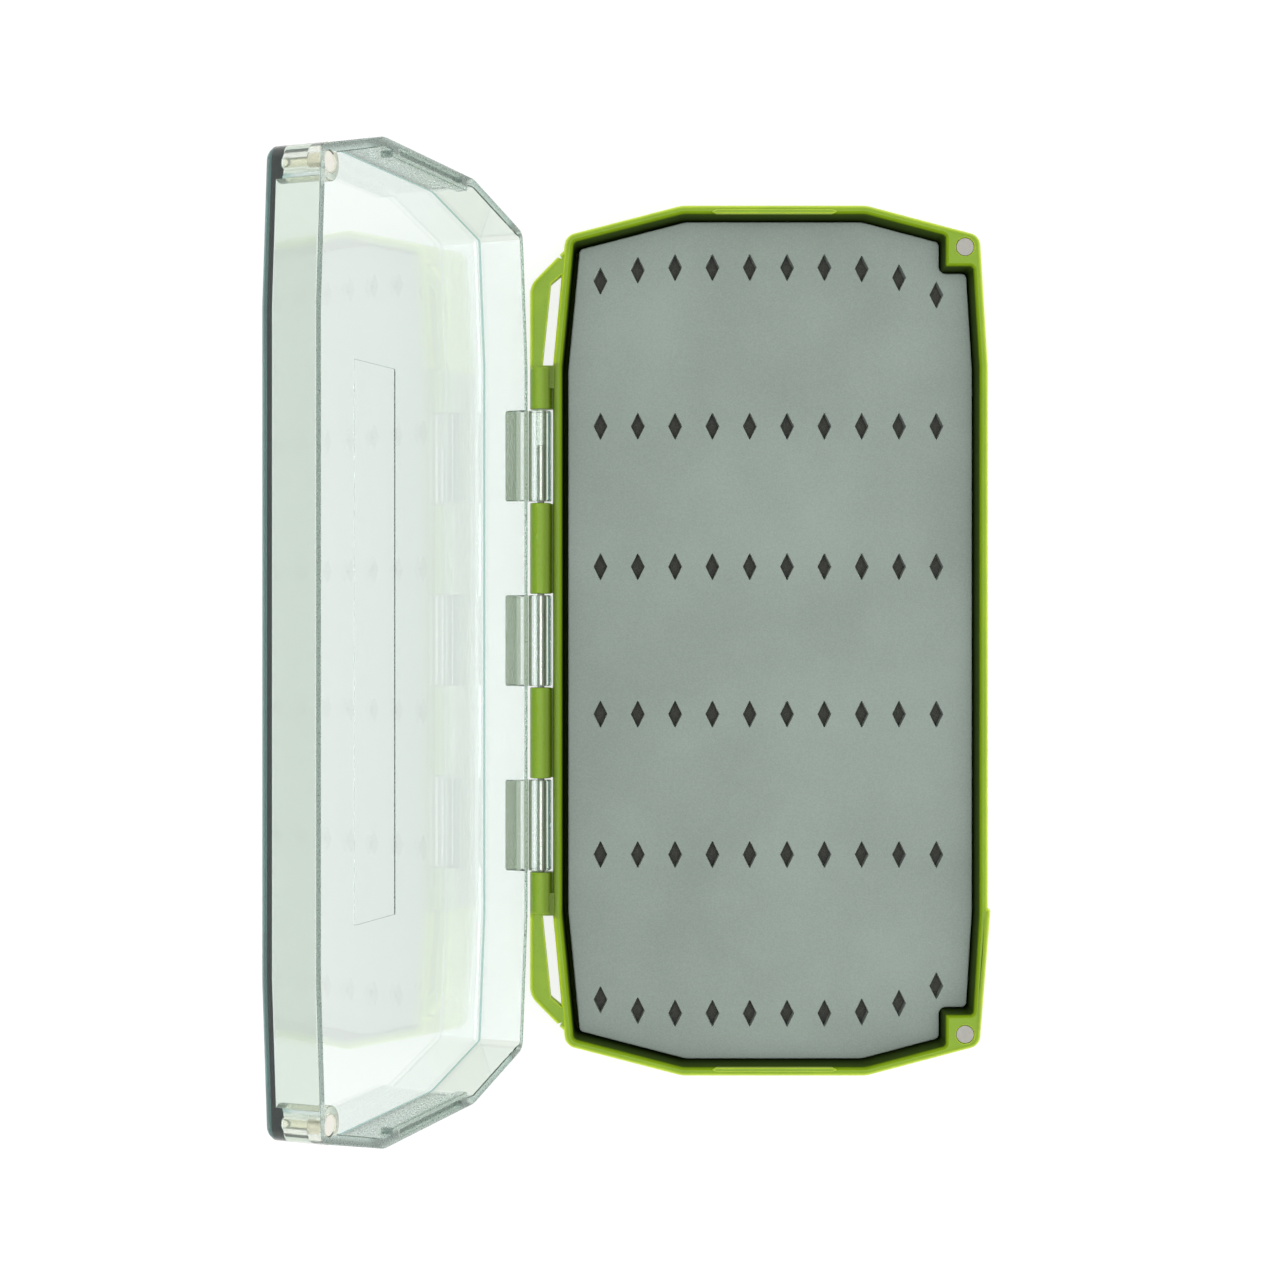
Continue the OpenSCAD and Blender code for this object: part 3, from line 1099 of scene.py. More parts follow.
@dataclass(frozen=True)
class CasePlan:
    """Sizes that the tray, the lid, the pad and the magnets share, in millimetres."""

    length: float = 196.8
    width: float = 98.4
    side_flat: float = 124.0
    hinge_corner_in: float = 2.8
    latch_corner_in: float = 1.8
    corner_drop: float = 6.8
    end_flat_hinge: float = 20.1
    end_flat_latch: float = 21.7
    corner_r: float = 3.0
    inner_corner_r: float = 1.2
    bend_r: float = 8.0
    tray_top: float = 16.0
    tray_wall: float = 2.1
    floor: float = 2.0
    seam: float = 0.2
    ridge_len: float = 28.4
    ridge_w: float = 0.9
    ridge_h: float = 0.8
    hinge_x: float = -51.95
    hinge_z: float = 14.2
    knuckle_r: float = 2.45
    knuckle_w: float = 20.5
    knuckle_gap: float = 0.35
    end_block: float = 9.4
    pin_r: float = 0.8
    pin_from: float = -59.8
    pin_to: float = 44.2
    magnet_x: float = 43.9
    magnet_y: float = 88.9
    magnet_r: float = 2.0
    magnet_sink: float = 0.1
    tray_magnet_h: float = 3.0
    lid_magnet_h: float = 3.2
    pocket_r: float = 2.12
    chamfer: float = 0.1
    land_reach: float = 4.4
    open_angle: float = 110.5

    @property
    def half_len(self) -> float:
        """Half the length of the case."""
        return self.length / 2

    @property
    def half_w(self) -> float:
        """Half its width without the hinge rail."""
        return self.width / 2

    @property
    def corner_y(self) -> float:
        """Distance of the corners from the middle."""
        return self.half_len - self.corner_drop

    @property
    def lid_rim(self) -> float:
        """Height of the shut lid's rim."""
        return self.tray_top + self.seam

    @property
    def end_middle(self) -> float:
        """X of the middle of each end's straight stretch."""
        return (self.end_flat_latch - self.end_flat_hinge) / 2

    @property
    def step(self) -> float:
        """Distance from one knuckle to the next."""
        return self.knuckle_w + self.knuckle_gap

    @property
    def run_half(self) -> float:
        """Half the length of the run of knuckles with the gaps at its ends."""
        return 2.5 * self.knuckle_w + 3 * self.knuckle_gap

    def outline(self) -> Outline:
        """Draw the case's twelve corners, counter-clockwise from the opening side.

        Returns:
            The outline.
        """
        return Outline.symmetric([
            Corner(self.half_w, self.side_flat / 2, self.bend_r),
            Corner(self.half_w - self.latch_corner_in, self.corner_y, self.corner_r),
            Corner(self.end_flat_latch, self.half_len, self.bend_r),
            Corner(-self.end_flat_hinge, self.half_len, self.bend_r),
            Corner(-self.half_w + self.hinge_corner_in, self.corner_y, self.corner_r),
            Corner(-self.half_w, self.side_flat / 2, self.bend_r),
        ])

    def notched(
        self, inset: float, reach: float, outer_r: float, notch_r: float, hinge_gap: float = 0.0
    ) -> Outline:
        """Draw the inside of the tray, which gives way to the two magnet lands.

        Args:
            inset: distance of the outline from the outside of the case.
            reach: half width of the lands, with any gap round them.
            outer_r: radius of the corners where the outline leaves the wall for a land.
            notch_r: radius of the corner that points into the outline.
            hinge_gap: extra distance from the wall on the hinge side.

        Returns:
            The outline.
        """
        case = self.outline()
        side, latch, end_latch, end_hinge, corner, hinge = case.mitred(inset)[:6]
        x, y = self.magnet_x - reach, self.magnet_y - reach
        bend = max(self.bend_r - inset, LEAST_R)
        turn = max(self.corner_r - inset, self.inner_corner_r)
        return Outline.symmetric([
            Corner(*side, bend),
            Corner(*at_y(side, latch, y), outer_r),
            Corner(x, y, notch_r),
            Corner(*at_x(latch, end_latch, x), outer_r),
            Corner(*end_latch, bend),
            Corner(end_hinge[0] + hinge_gap, end_hinge[1], bend),
            Corner(corner[0] + hinge_gap, corner[1], turn),
            Corner(hinge[0] + hinge_gap, hinge[1], bend),
        ])

    def hinge_side_x(self, y: float) -> float:
        """X of the hinge-side edge of the case at a distance y beyond the straight stretch."""
        return -self.half_w + self.hinge_corner_in * self._slanted(y)

    def latch_side_x(self, y: float) -> float:
        """X of the opening-side edge of the case at a distance y beyond the straight stretch."""
        return self.half_w - self.latch_corner_in * self._slanted(y)

    def _slanted(self, y: float) -> float:
        """Share of the slanted stretch, from the straight one to the corner, that y has passed."""
        return max(0.0, abs(y) - self.side_flat / 2) / (self.corner_y - self.side_flat / 2)

    def on_hinge(self, y: float) -> Matrix:
        """The move that lays a solid which stands on the origin along the hinge, from y on."""
        return Matrix.Translation((self.hinge_x, y, self.hinge_z)) @ Matrix.Rotation(-math.pi / 2, 4, "X")

    def on_magnet(self, z: float, end: int = 1) -> Matrix:
        """The move from the origin to a height on a magnet's axis, at the upper (1) or lower (-1) end."""
        return Matrix.Translation((self.magnet_x, end * self.magnet_y, z))

    def pin_bore(self, gap: float, to: float) -> Solid:
        """Make the tool that bores for the pin, with a gap round it, as far as y is to."""
        return barrel(self.pin_r + gap, to - self.pin_from, 0.05).moved(self.on_hinge(self.pin_from))

    def opened(self) -> Matrix:
        """The turn about the pin that takes a shut lid to where it stands.

        Returns:
            The turn, in millimetres.
        """
        to_pin = Matrix.Translation((self.hinge_x, 0, self.hinge_z))
        turn = Matrix.Rotation(-math.radians(self.open_angle), 4, "Y")
        return to_pin @ turn @ to_pin.inverted()


@dataclass
class Tray:
    """The moulded tray with its hinge rail, magnet lands, locating ridges and thumb lip."""

    plan: CasePlan
    outer: Finish
    inner: Finish
    foot_r: float = 2.2
    rim_r: float = 1.2
    inner_foot_r: float = 0.8
    inner_rim_r: float = 0.7
    land_root_r: float = 0.9
    land_tip_r: float = 0.35
    ridge_point: float = 1.2
    ridge_edge: float = 0.28
    ridge_r: float = 0.4
    ridge_tip_r: float = 0.1
    pin_gap: float = 0.02
    thumb_out: float = 0.6
    thumb_from: float = 60.4
    thumb_to: float = 88.0
    thumb_h: float = 5.0
    thumb_root: float = 2.0
    thumb_root_past: Span = (0.3, 0.6)
    thumb_root_r: float = 0.1
    thumb_end_r: float = 0.3
    thumb_brow_r: float = 0.8
    thumb_foot_r: float = 0.5
    shoulder_y: float = 80.5
    shoulder_r: float = 5.0
    slot_from: float = 62.2
    slot_to: float = 82.4
    slot_w: float = 2.4
    slot_edge: float = 0.3
    slot_over: float = 0.2
    slot_r: float = 0.3
    slot_end_r: Span = (0.1, 0.5)
    slot_end_past: Span = (0.5, 0.7)
    rail_root_r: float = 0.2
    rail_drop: float = 0.4
    rail_foot_r: float = 0.9
    rail_top_r: float = 1.25
    knuckle_edge: float = 0.3
    web_in: float = 0.15
    web_r: float = 0.1
    notch_x: float = -47.9
    notch_deep: float = 0.9
    notch_spread: float = 1.6
    notch_r: float = 0.1

    def body(self) -> Solid:
        """Make the tray's outside, solid.

        Returns:
            The solid.
        """
        top = self.plan.tray_top
        levels = rounded_edge(0, self.foot_r, 0, 1) + rounded_edge(top, self.rim_r, 0, -1)
        return Solid.lofted(self.plan.outline(), levels, TraySkin.OUTER)

    def hollow(self) -> Solid:
        """Make the room inside the tray, which stops at the magnet lands.

        Returns:
            The tool.
        """
        plan = self.plan
        top = plan.tray_top
        outline = plan.notched(plan.tray_wall, plan.land_reach, self.land_root_r, self.land_tip_r)
        levels = rounded_edge(plan.floor, self.inner_foot_r, 0, 1)
        levels += rounded_edge(top, -self.inner_rim_r, 0, -1)
        levels.append((top + REACH, -self.inner_rim_r))
        return Solid.lofted(outline, levels, TraySkin.INNER)

    def rail(self) -> Solid:
        """Make the rail beside the case, with its two lanyard slots and its open middle.

        Returns:
            The solid.
        """
        plan = self.plan
        shoulder = plan.hinge_x - plan.knuckle_r
        root_y = self.shoulder_y + plan.knuckle_r - plan.half_w - plan.hinge_x + plan.hinge_corner_in + REACH
        root_x = plan.hinge_side_x(root_y) + REACH
        outline = Outline((
            Corner(root_x, -root_y, self.rail_root_r),
            Corner(root_x, root_y, self.rail_root_r),
            Corner(shoulder, self.shoulder_y, self.shoulder_r),
            Corner(shoulder, -self.shoulder_y, self.shoulder_r),
        ))
        low, high = plan.hinge_z - plan.knuckle_r, plan.tray_top - self.rail_drop
        levels = rounded_edge(low, self.rail_foot_r, 0, 1) + rounded_edge(high, self.rail_top_r, 0, -1)
        solid = Solid.lofted(outline, levels)
        half = plan.run_half + plan.end_block / 2
        gap = Outline.box((shoulder - REACH, -half), (0, half))
        solid.cut(Solid.lofted(gap, [(low - REACH, 0), (high + REACH, 0)]))
        slot, notch = self.lanyard_slot(low, high), self.root_notch()
        return solid.cut(slot.mirrored(), slot, notch.mirrored(), notch)

    def root_notch(self) -> Solid:
        """Make the tool that cuts the small notch where the upper bar meets the case.

        Returns:
            The tool.
        """
        x, deep, r = self.notch_x, self.notch_deep, self.notch_r
        far = deep * self.notch_spread
        y = self.shoulder_y + x - (self.plan.hinge_x - self.plan.knuckle_r)
        outline = Outline((
            Corner(x + deep, y - deep, r),
            Corner(x, y + deep, r),
            Corner(x - far, y + far, r),
            Corner(x - deep, y, r),
        ))
        return Solid.lofted(outline, [(self.plan.hinge_z - 4, 0), (self.plan.tray_top + REACH, 0)])

    def lanyard_slot(self, low: float, high: float) -> Solid:
        """Make the tool that cuts the upper lanyard slot.

        Args:
            low: height of the rail's underside.
            high: height of its top.

        Returns:
            The tool, flared at both mouths.
        """
        near, far = self.plan.hinge_side_x(self.slot_from), self.plan.hinge_side_x(self.slot_to)
        past, short = self.slot_end_past
        inner_r, outer_r = self.slot_end_r
        outline = Outline((
            Corner(near - self.slot_w, self.slot_from, self.slot_r),
            Corner(near + self.slot_over, self.slot_from, self.slot_r),
            Corner(far + self.slot_over, self.slot_to + past, inner_r),
            Corner(far - self.slot_w, self.slot_to - self.slot_w + short, outer_r),
        ))
        edge = self.slot_edge
        levels = [(low - REACH, -edge)] + rounded_edge(low, -edge, 0, 1)
        levels += rounded_edge(high, -edge, 0, -1) + [(high + REACH, -edge)]
        return Solid.lofted(outline, levels)

    def knuckle(self, y_from: float, y_to: float) -> Solid:
        """Make a round stretch of the rail, joined to the side of the tray.

        Args:
            y_from: where it starts.
            y_to: where it ends.

        Returns:
            The knuckle.
        """
        plan = self.plan
        round_part = barrel(plan.knuckle_r, y_to - y_from, self.knuckle_edge).moved(plan.on_hinge(y_from))
        root_x = -plan.half_w + REACH
        web = Outline.box(
            (plan.hinge_x, y_from + self.web_in), (root_x, y_to - self.web_in), self.web_r
        )
        low = plan.hinge_z - plan.knuckle_r
        return round_part.add(Solid.lofted(web, [(low + SHY, 0), (plan.hinge_z, 0)]))

    def thumb_lip(self) -> Solid:
        """Make the lip for a thumbnail near the lower corner of the opening side.

        Returns:
            The solid.
        """
        plan = self.plan
        start, end = plan.latch_side_x(self.thumb_from), plan.latch_side_x(self.thumb_to)
        past_start, past_end = self.thumb_root_past
        outline = Outline((
            Corner(end - self.thumb_root, -self.thumb_to - past_end, self.thumb_root_r),
            Corner(end, -self.thumb_to, self.thumb_end_r),
            Corner(start + self.thumb_out, -self.thumb_from - self.thumb_out, self.thumb_brow_r),
            Corner(start, -self.thumb_from, self.thumb_end_r),
            Corner(start - self.thumb_root, -self.thumb_from + past_start, self.thumb_root_r),
        ))
        low = plan.tray_top - self.thumb_h
        levels = rounded_edge(low, self.thumb_foot_r, 0, 1) + rounded_edge(plan.tray_top, self.rim_r, 0, -1)
        return Solid.lofted(outline, levels)

    def ridge(self) -> Solid:
        """Make the locating ridge of the upper end, tapered at its ends.

        Returns:
            The solid.
        """
        plan = self.plan
        x, half = plan.end_middle, plan.ridge_len / 2
        flat = half - self.ridge_point
        y0 = plan.half_len - plan.tray_wall + 2 * SHY
        y1 = y0 + plan.ridge_w
        middle = (y0 + y1) / 2
        outline = Outline((
            Corner(x - flat, y0, self.ridge_r),
            Corner(x + flat, y0, self.ridge_r),
            Corner(x + half, middle, self.ridge_tip_r),
            Corner(x + flat, y1, self.ridge_r),
            Corner(x - flat, y1, self.ridge_r),
            Corner(x - half, middle, self.ridge_tip_r),
        ))
        levels = [(plan.tray_top - REACH, 0)]
        levels += rounded_edge(plan.tray_top + plan.ridge_h, self.ridge_edge, 0, -1)
        return Solid.lofted(outline, levels)

    def pocket(self) -> Solid:
        """Make the tool that cuts the upper magnet's pocket.

        Returns:
            The tool.
        """
        plan = self.plan
        r, mouth = plan.pocket_r, plan.pocket_r + plan.chamfer
        seat = -plan.magnet_sink - plan.tray_magnet_h
        profile = [(r, seat), (r, -plan.chamfer), (mouth, 0), (mouth, REACH)]
        return Solid.turned(profile).moved(plan.on_magnet(plan.tray_top))

    def build(self) -> bpy.types.Object:
        """Make the finished tray.

        Returns:
            The finished piece.
        """
        plan = self.plan
        solid = self.body().add(self.rail(), self.thumb_lip())
        end = plan.run_half + plan.end_block
        solid.add(self.knuckle(plan.run_half, end), self.knuckle(-end, -plan.run_half))
        for k in (-1, 1):
            middle = k * plan.step
            solid.add(self.knuckle(middle - plan.knuckle_w / 2, middle + plan.knuckle_w / 2))
        solid.cut(self.hollow())
        ridge = self.ridge()
        pocket = self.pocket()
        solid.add(ridge.mirrored(), ridge)
        solid.cut(pocket.mirrored(), pocket, plan.pin_bore(self.pin_gap, plan.run_half))
        skins = [self.outer, self.inner]
        return solid.piece("tray_shell", Body.TRAY, skins, "green_polycarbonate", ["base_tray"])


@dataclass
class Lid:
    """The clear lid with its knuckles, magnet posts, ridge slots and bare recessed panel."""

    plan: CasePlan
    finish: Finish
    height: float = 12.0
    wall: float = 2.0
    roof: float = 2.1
    rim_r: float = 0.3
    inner_rim_r: float = 0.25
    roof_edge_r: float = 1.8
    roof_fillet: float = 0.3
    post_r: float = 3.6
    post_edge: float = 0.25
    post_bore_r: float = 1.6
    post_bore_taper: float = 0.4
    post_cap: float = 1.0
    boss_len: float = 35.0
    boss_in: float = 1.3
    boss_h: float = 2.8
    boss_r: Span = (0.5, 0.2)
    boss_rim_r: float = 0.2
    boss_top_r: float = 0.4
    ridge_gap: float = 0.3
    ridge_slot_r: float = 0.4
    ridge_slot_end_r: float = 0.2
    arm_rise: float = 5.2
    arm_root_r: float = 0.1
    arm_top_r: float = 0.3
    arm_bend_share: float = 0.6
    arm_bend_r: float = 0.6
    arm_knee: Point = (-0.3, 2.3)
    arm_knee_r: float = 0.2
    arm_foot_r: float = 1.5
    arm_edge: float = 0.45
    frost_from: float = 18.0
    pin_gap: float = 0.05
    bore_past: float = 8.9
    panel_w: float = 18.0
    panel_len: float = 113.0
    panel_depth: float = 0.3
    panel_r: float = 0.15
    panel_shift: float = 5.2

    @property
    def rim_z(self) -> float:
        """Height of the rim when shut."""
        return self.plan.lid_rim

    @property
    def top(self) -> float:
        """Height of the roof's outer face when shut."""
        return self.rim_z + self.height

    def shell(self) -> Solid:
        """Make the walls and the roof.

        Returns:
            The solid.
        """
        outline = self.plan.outline()
        outside = rounded_edge(self.rim_z, self.rim_r, 0, 1)
        outside += rounded_edge(self.top, self.roof_edge_r, 0, -1)
        inside = [(self.rim_z - REACH, self.wall - self.inner_rim_r)]
        inside += rounded_edge(self.rim_z, -self.inner_rim_r, self.wall, 1)
        inside += rounded_edge(self.top - self.roof, self.roof_fillet, self.wall, -1)
        room = Solid.lofted(outline, inside)
        room.reskin(Skin.SATIN, Facing.OFF_HINGE).reskin(Skin.MATT, Facing.ENDWAYS)
        walls = Solid.lofted(outline, outside).reskin(Skin.EDGES, Facing.DOWN)
        return walls.reskin(Skin.ROOF_EDGE_PAINTED_SLATE, Facing.ROUND_ROOF).cut(room)

    def post(self) -> Solid:
        """Make the tube for the upper magnet, filled."""
        solid = barrel(self.post_r, self.height - self.roof / 2, self.post_edge)
        return solid.moved(self.plan.on_magnet(self.rim_z)).reskin(Skin.POST, Facing.ANY_WAY)

    def post_hollow(self) -> Solid:
        """Make the tool that cuts the upper post's magnet pocket and the bore behind it.

        Returns:
            The tool.
        """
        plan = self.plan
        r, mouth = plan.pocket_r, plan.pocket_r + plan.chamfer
        seat = plan.magnet_sink + plan.lid_magnet_h
        end, bore_r = self.height - self.roof - self.post_cap, self.post_bore_r
        profile = [
            (mouth, -REACH), (mouth, 0), (r, plan.chamfer), (r, seat), (bore_r, seat + SHY),
            (bore_r, end - self.post_bore_taper), (bore_r - self.post_bore_taper, end),
        ]
        return Solid.turned(profile, skin=Skin.POST).moved(plan.on_magnet(self.rim_z))

    def boss(self) -> Solid:
        """Make the thick stretch of rim at the upper end.

        Returns:
            The solid.
        """
        plan = self.plan
        x, half = plan.end_middle, self.boss_len / 2
        y0 = plan.half_len - self.wall - self.boss_in
        y1 = plan.half_len - self.wall / 2
        outline = Outline.box((x - half, y0), (x + half, y1), *self.boss_r)
        levels = rounded_edge(self.rim_z, self.boss_rim_r, 0, 1)
        levels += rounded_edge(self.rim_z + self.boss_h, self.boss_top_r, 0, -1)
        return Solid.lofted(outline, levels, Skin.MATT).reskin(Skin.EDGES, Facing.DOWN)

    def ridge_slot(self) -> Solid:
        """Make the tool that cuts the slot for the tray's upper ridge.

        Returns:
            The tool.
        """
        plan = self.plan
        x, half = plan.end_middle, plan.ridge_len / 2 + self.ridge_gap
        y0 = plan.half_len - plan.tray_wall - self.ridge_gap
        y1 = y0 + plan.ridge_w + 2 * self.ridge_gap
        outline = Outline.box((x - half, y0), (x + half, y1), self.ridge_slot_r)
        edge = plan.chamfer
        levels = [(self.rim_z - REACH, -edge), (self.rim_z, -edge), (self.rim_z + edge, 0)]
        deep = self.rim_z + plan.ridge_h + self.ridge_gap
        levels += rounded_edge(deep, self.ridge_slot_end_r, 0, -1)
        return Solid.lofted(outline, levels, Skin.EDGES)

    def arm(self, middle: float) -> Solid:
        """Make a hinge arm: a knuckle and the web that ties it to the lid's side.

        Args:
            middle: where its middle lies along the hinge.

        Returns:
            The arm, as it lies with the lid shut.
        """
        plan = self.plan
        r = plan.knuckle_r
        out = -plan.half_w - plan.hinge_x
        side = out + self.wall / 2
        foot = self.rim_z - plan.hinge_z
        knee_x, knee_up = self.arm_knee
        outline = Outline((
            Corner(-r, 0, self.arm_root_r),
            Corner(r, 0, self.arm_root_r),
            Corner(r, foot, self.arm_root_r),
            Corner(side, foot + 2 * SHY, self.arm_root_r),
            Corner(side, foot + self.arm_rise, self.arm_root_r),
            Corner(out, foot + self.arm_rise, self.arm_top_r),
            Corner(0, foot + self.arm_rise * self.arm_bend_share, self.arm_bend_r),
            Corner(knee_x, foot + knee_up, self.arm_knee_r),
            Corner(-r, foot, self.arm_foot_r),
        ))
        edge, half = self.arm_edge, plan.knuckle_w / 2
        levels = rounded_edge(-half, edge, 0, 1, FEW_STEPS) + rounded_edge(half, edge, 0, -1, FEW_STEPS)
        # The outline's second axis is the height, so the loft, which rises along Z, is laid along -Y.
        lay = Matrix.Translation((plan.hinge_x, middle, plan.hinge_z)) @ Matrix.Rotation(math.pi / 2, 4, "X")
        web = Solid.lofted(outline, levels).moved(lay)
        web.reskin(Skin.ARMS, Facing.UP_OUTWARDS, self.frost_from)
        knuckle = barrel(r, plan.knuckle_w, edge).reskin(Skin.SATIN, Facing.ANY_WAY)
        return web.add(knuckle.moved(plan.on_hinge(middle - half)))

    def panel(self) -> Solid:
        """Make the tool that sinks the bare panel into the roof.

        Returns:
            The tool.
        """
        x, half = self.panel_w / 2, self.panel_len / 2
        near, far = (self.panel_shift - x, -half), (self.panel_shift + x, half)
        outline = Outline.box(near, far, self.panel_r)
        deep = self.top - self.panel_depth
        tool = Solid.lofted(outline, [(deep, LEAST_R), (deep + LEAST_R, 0), (self.top + REACH, 0)])
        return tool.reskin(Skin.MATT, Facing.SIDEWAYS)

    def build(self) -> bpy.types.Object:
        """Make the finished lid where it stands open.

        Returns:
            The finished piece.
        """
        plan = self.plan
        solid = self.shell()
        post, boss = self.post(), self.boss()
        solid.add(post.mirrored(), post, boss.mirrored(), boss)
        for k in (-2, 0, 2):
            solid.add(self.arm(k * plan.step))
        hollow, slot = self.post_hollow(), self.ridge_slot()
        solid.cut(hollow.mirrored(), hollow, slot.mirrored(), slot, self.panel())
        solid.cut(plan.pin_bore(self.pin_gap, plan.pin_to + self.bore_past))
        solid.moved(plan.opened()).textures()
        return solid.piece("lid_cover", Body.LID, [self.finish], "clear_polycarbonate", ["lid_shell"])


@dataclass
class HingePin:
    """The long steel pin through the knuckles."""

    plan: CasePlan
    finish: Finish
    edge: float = 0.2
    sides: int = 48

    def build(self) -> bpy.types.Object:
        """Make the pin.

        Returns:
            The finished piece.
        """
        plan = self.plan
        solid = barrel(plan.pin_r, plan.pin_to - plan.pin_from, self.edge, self.sides)
        solid.moved(plan.on_hinge(plan.pin_from))
        return solid.piece("pin_wire", Body.TRAY, [self.finish], "pin_steel", ["hinge_pin"])


@dataclass
class HookPad:
    """The silicone sheet with its diamond-shaped entry holes, and the foam under it."""

    plan: CasePlan
    silicone: Finish
    foam: Finish
    foam_t: float = 3.5
    silicone_t: float = 3.0
    gap: float = 0.4
    hinge_gap: float = 0.8
    land_root_r: float = 1.2
    land_tip_r: float = 1.6
    foam_in: float = 0.4
    column_in: float = 10.68
    rows: tuple[float, float, float] = (16.9, 49.1, 85.5)
    pull: tuple[float, ...] = (3.1, 0.6, 0, 0, 0, 0, 0, 0.3, 2.3, 6.3)
    diamond_w: float = 3.1
    diamond_len: float = 6.3
    diamond_side_r: float = 0.2
    diamond_tip_r: float = 0.12
    lip: float = 0.18
    past: float = 0.5
    silicone_foot_r: float = 0.3
    silicone_top_r: float = 0.35
    foam_r: float = 0.4

    @property
    def pitch(self) -> float:
        """Distance from one column of diamonds to the next."""
        return (self.plan.width - 2 * self.column_in) / (len(self.pull) - 1)

    def outline(self) -> Outline:
        """Draw the pad's outline."""
        inset, reach = self.plan.tray_wall + self.gap, self.plan.land_reach + self.gap
        return self.plan.notched(inset, reach, self.land_root_r, self.land_tip_r, self.hinge_gap)

    def diamonds(self, top: float) -> Solid:
        """Make the tool that cuts all the entry holes.

        Args:
            top: height of the silicone's upper face.

        Returns:
            The tool.
        """
        w, half = self.diamond_w / 2, self.diamond_len / 2
        side_r, tip_r = self.diamond_side_r, self.diamond_tip_r
        outline = Outline((
            Corner(w, 0, side_r), Corner(0, half, tip_r), Corner(-w, 0, side_r), Corner(0, -half, tip_r)
        ))
        levels = [(top - self.silicone_t - self.past, 0)]
        levels += rounded_edge(top, -self.lip, 0, -1, FEW_STEPS) + [(top + self.past, -self.lip)]
        first = Solid.lofted(outline, levels)
        tools: list[Solid] = []
        for i, pulled in enumerate(self.pull):
            x = (i - (len(self.pull) - 1) / 2) * self.pitch
            last = self.rows[2] - pulled
            for y in (-last, -self.rows[1], -self.rows[0], self.rows[0], self.rows[1], last):
                tools.append(first.copy().moved(Matrix.Translation((x, y, 0))))
        first.drop()
        return tools[0].beside(*tools[1:])

    def sheet(self) -> bpy.types.Object:
        """Make the silicone sheet.

        Returns:
            The finished piece.
        """
        low = self.plan.floor + self.foam_t
        top = low + self.silicone_t
        levels = rounded_edge(low, self.silicone_foot_r, 0, 1, FEW_STEPS)
        levels += rounded_edge(top, self.silicone_top_r, 0, -1)
        solid = Solid.lofted(self.outline(), levels)
        between_columns = [(i - len(self.pull) / 2) * self.pitch for i in range(1, len(self.pull))]
        inner, outer = (self.rows[0] + self.rows[1]) / 2, (self.rows[1] + self.rows[2]) / 2
        solid.scored(between_columns, [-outer, -inner, 0, inner, outer])
        solid.cut(self.diamonds(top))
        return solid.piece("silicone_pad", Body.TRAY, [self.silicone], "grey_silicone", ["silicone_sheet"])

    def backing(self) -> bpy.types.Object:
        """Make the foam sheet.

        Returns:
            The finished piece.
        """
        low = self.plan.floor
        levels = rounded_edge(low, self.foam_r, self.foam_in, 1, FEW_STEPS)
        levels += rounded_edge(low + self.foam_t, self.foam_r, self.foam_in, -1, FEW_STEPS)
        solid = Solid.lofted(self.outline(), levels)
        foam = solid.piece("foam_sheet", Body.TRAY, [self.foam], "black_foam", ["foam_backing"])
        return foam


@dataclass
class Magnets:
    """The four disc magnets in the corners of the side that opens."""

    plan: CasePlan
    finish: Finish
    edge: float = 0.18

    def build(self) -> list[bpy.types.Object]:
        """Make the four magnets.

        Returns:
            The finished magnets.
        """
        plan = self.plan
        tray_low = plan.tray_top - plan.magnet_sink - plan.tray_magnet_h
        made: list[bpy.types.Object] = []
        for end, sign in (("upper", 1), ("lower", -1)):
            for name, node, body, height, low, stands in (
                ("tray_magnet", "base_magnet", Body.TRAY, plan.tray_magnet_h, tray_low, Matrix.Identity(4)),
                ("cover_magnet", "lid_magnet", Body.LID, plan.lid_magnet_h, plan.lid_rim + plan.magnet_sink,
                 plan.opened()),
            ):
                disc = barrel(plan.magnet_r, height, self.edge)
                disc.moved(plan.on_magnet(low, sign)).moved(stands)
                nodes = [f"{node}_{end}"]
                made.append(disc.piece(f"{name}_{end}", body, [self.finish], "nickel_magnet", nodes))
        return made


# ---------------------------------------------------------------------------------------------------------
# Studio
# ---------------------------------------------------------------------------------------------------------


@dataclass(frozen=True)
class WhiteTable(Finish):
    """A matt white table top."""

    colour: str = "#FDFDFD"
    plain: float = 0.75

    def draw(self, tree: bpy.types.NodeTree) -> None:
        """Fill the node tree.

        Args:
            tree: the node tree.
        """
        matt = add_node(tree, "BsdfPrincipled", {
            "Base Color": linear(self.colour), "Roughness": 0.9, "Specular IOR Level": 0.0
        })
        plain = add_node(tree, "Emission", {"Color": WHITE, "Strength": 1.0})
        path = add_node(tree, "LightPath").outputs
        shows: Feed = path["Is Camera Ray"]
        for ray in ("Is Transmission Ray", "Is Glossy Ray"):
            shows = add_node(tree, "Math", {"operation": "MAXIMUM", "#0": shows, "#1": path[ray]})
        share = add_node(tree, "Math", {"operation": "MULTIPLY", "#0": shows, "#1": self.plain})
        mixed = add_node(tree, "MixShader", {"#0": share, "#1": matt, "#2": plain})
        add_node(tree, "OutputMaterial", {"Surface": mixed})


@dataclass(frozen=True)
class Softbox:
    """A square lamp that looks at the case: its place in degrees and metres, and its power in watts."""

    name: str
    azimuth: float
    elevation: float
    power: float
    distance: float = 1.2
    size: float = 0.8


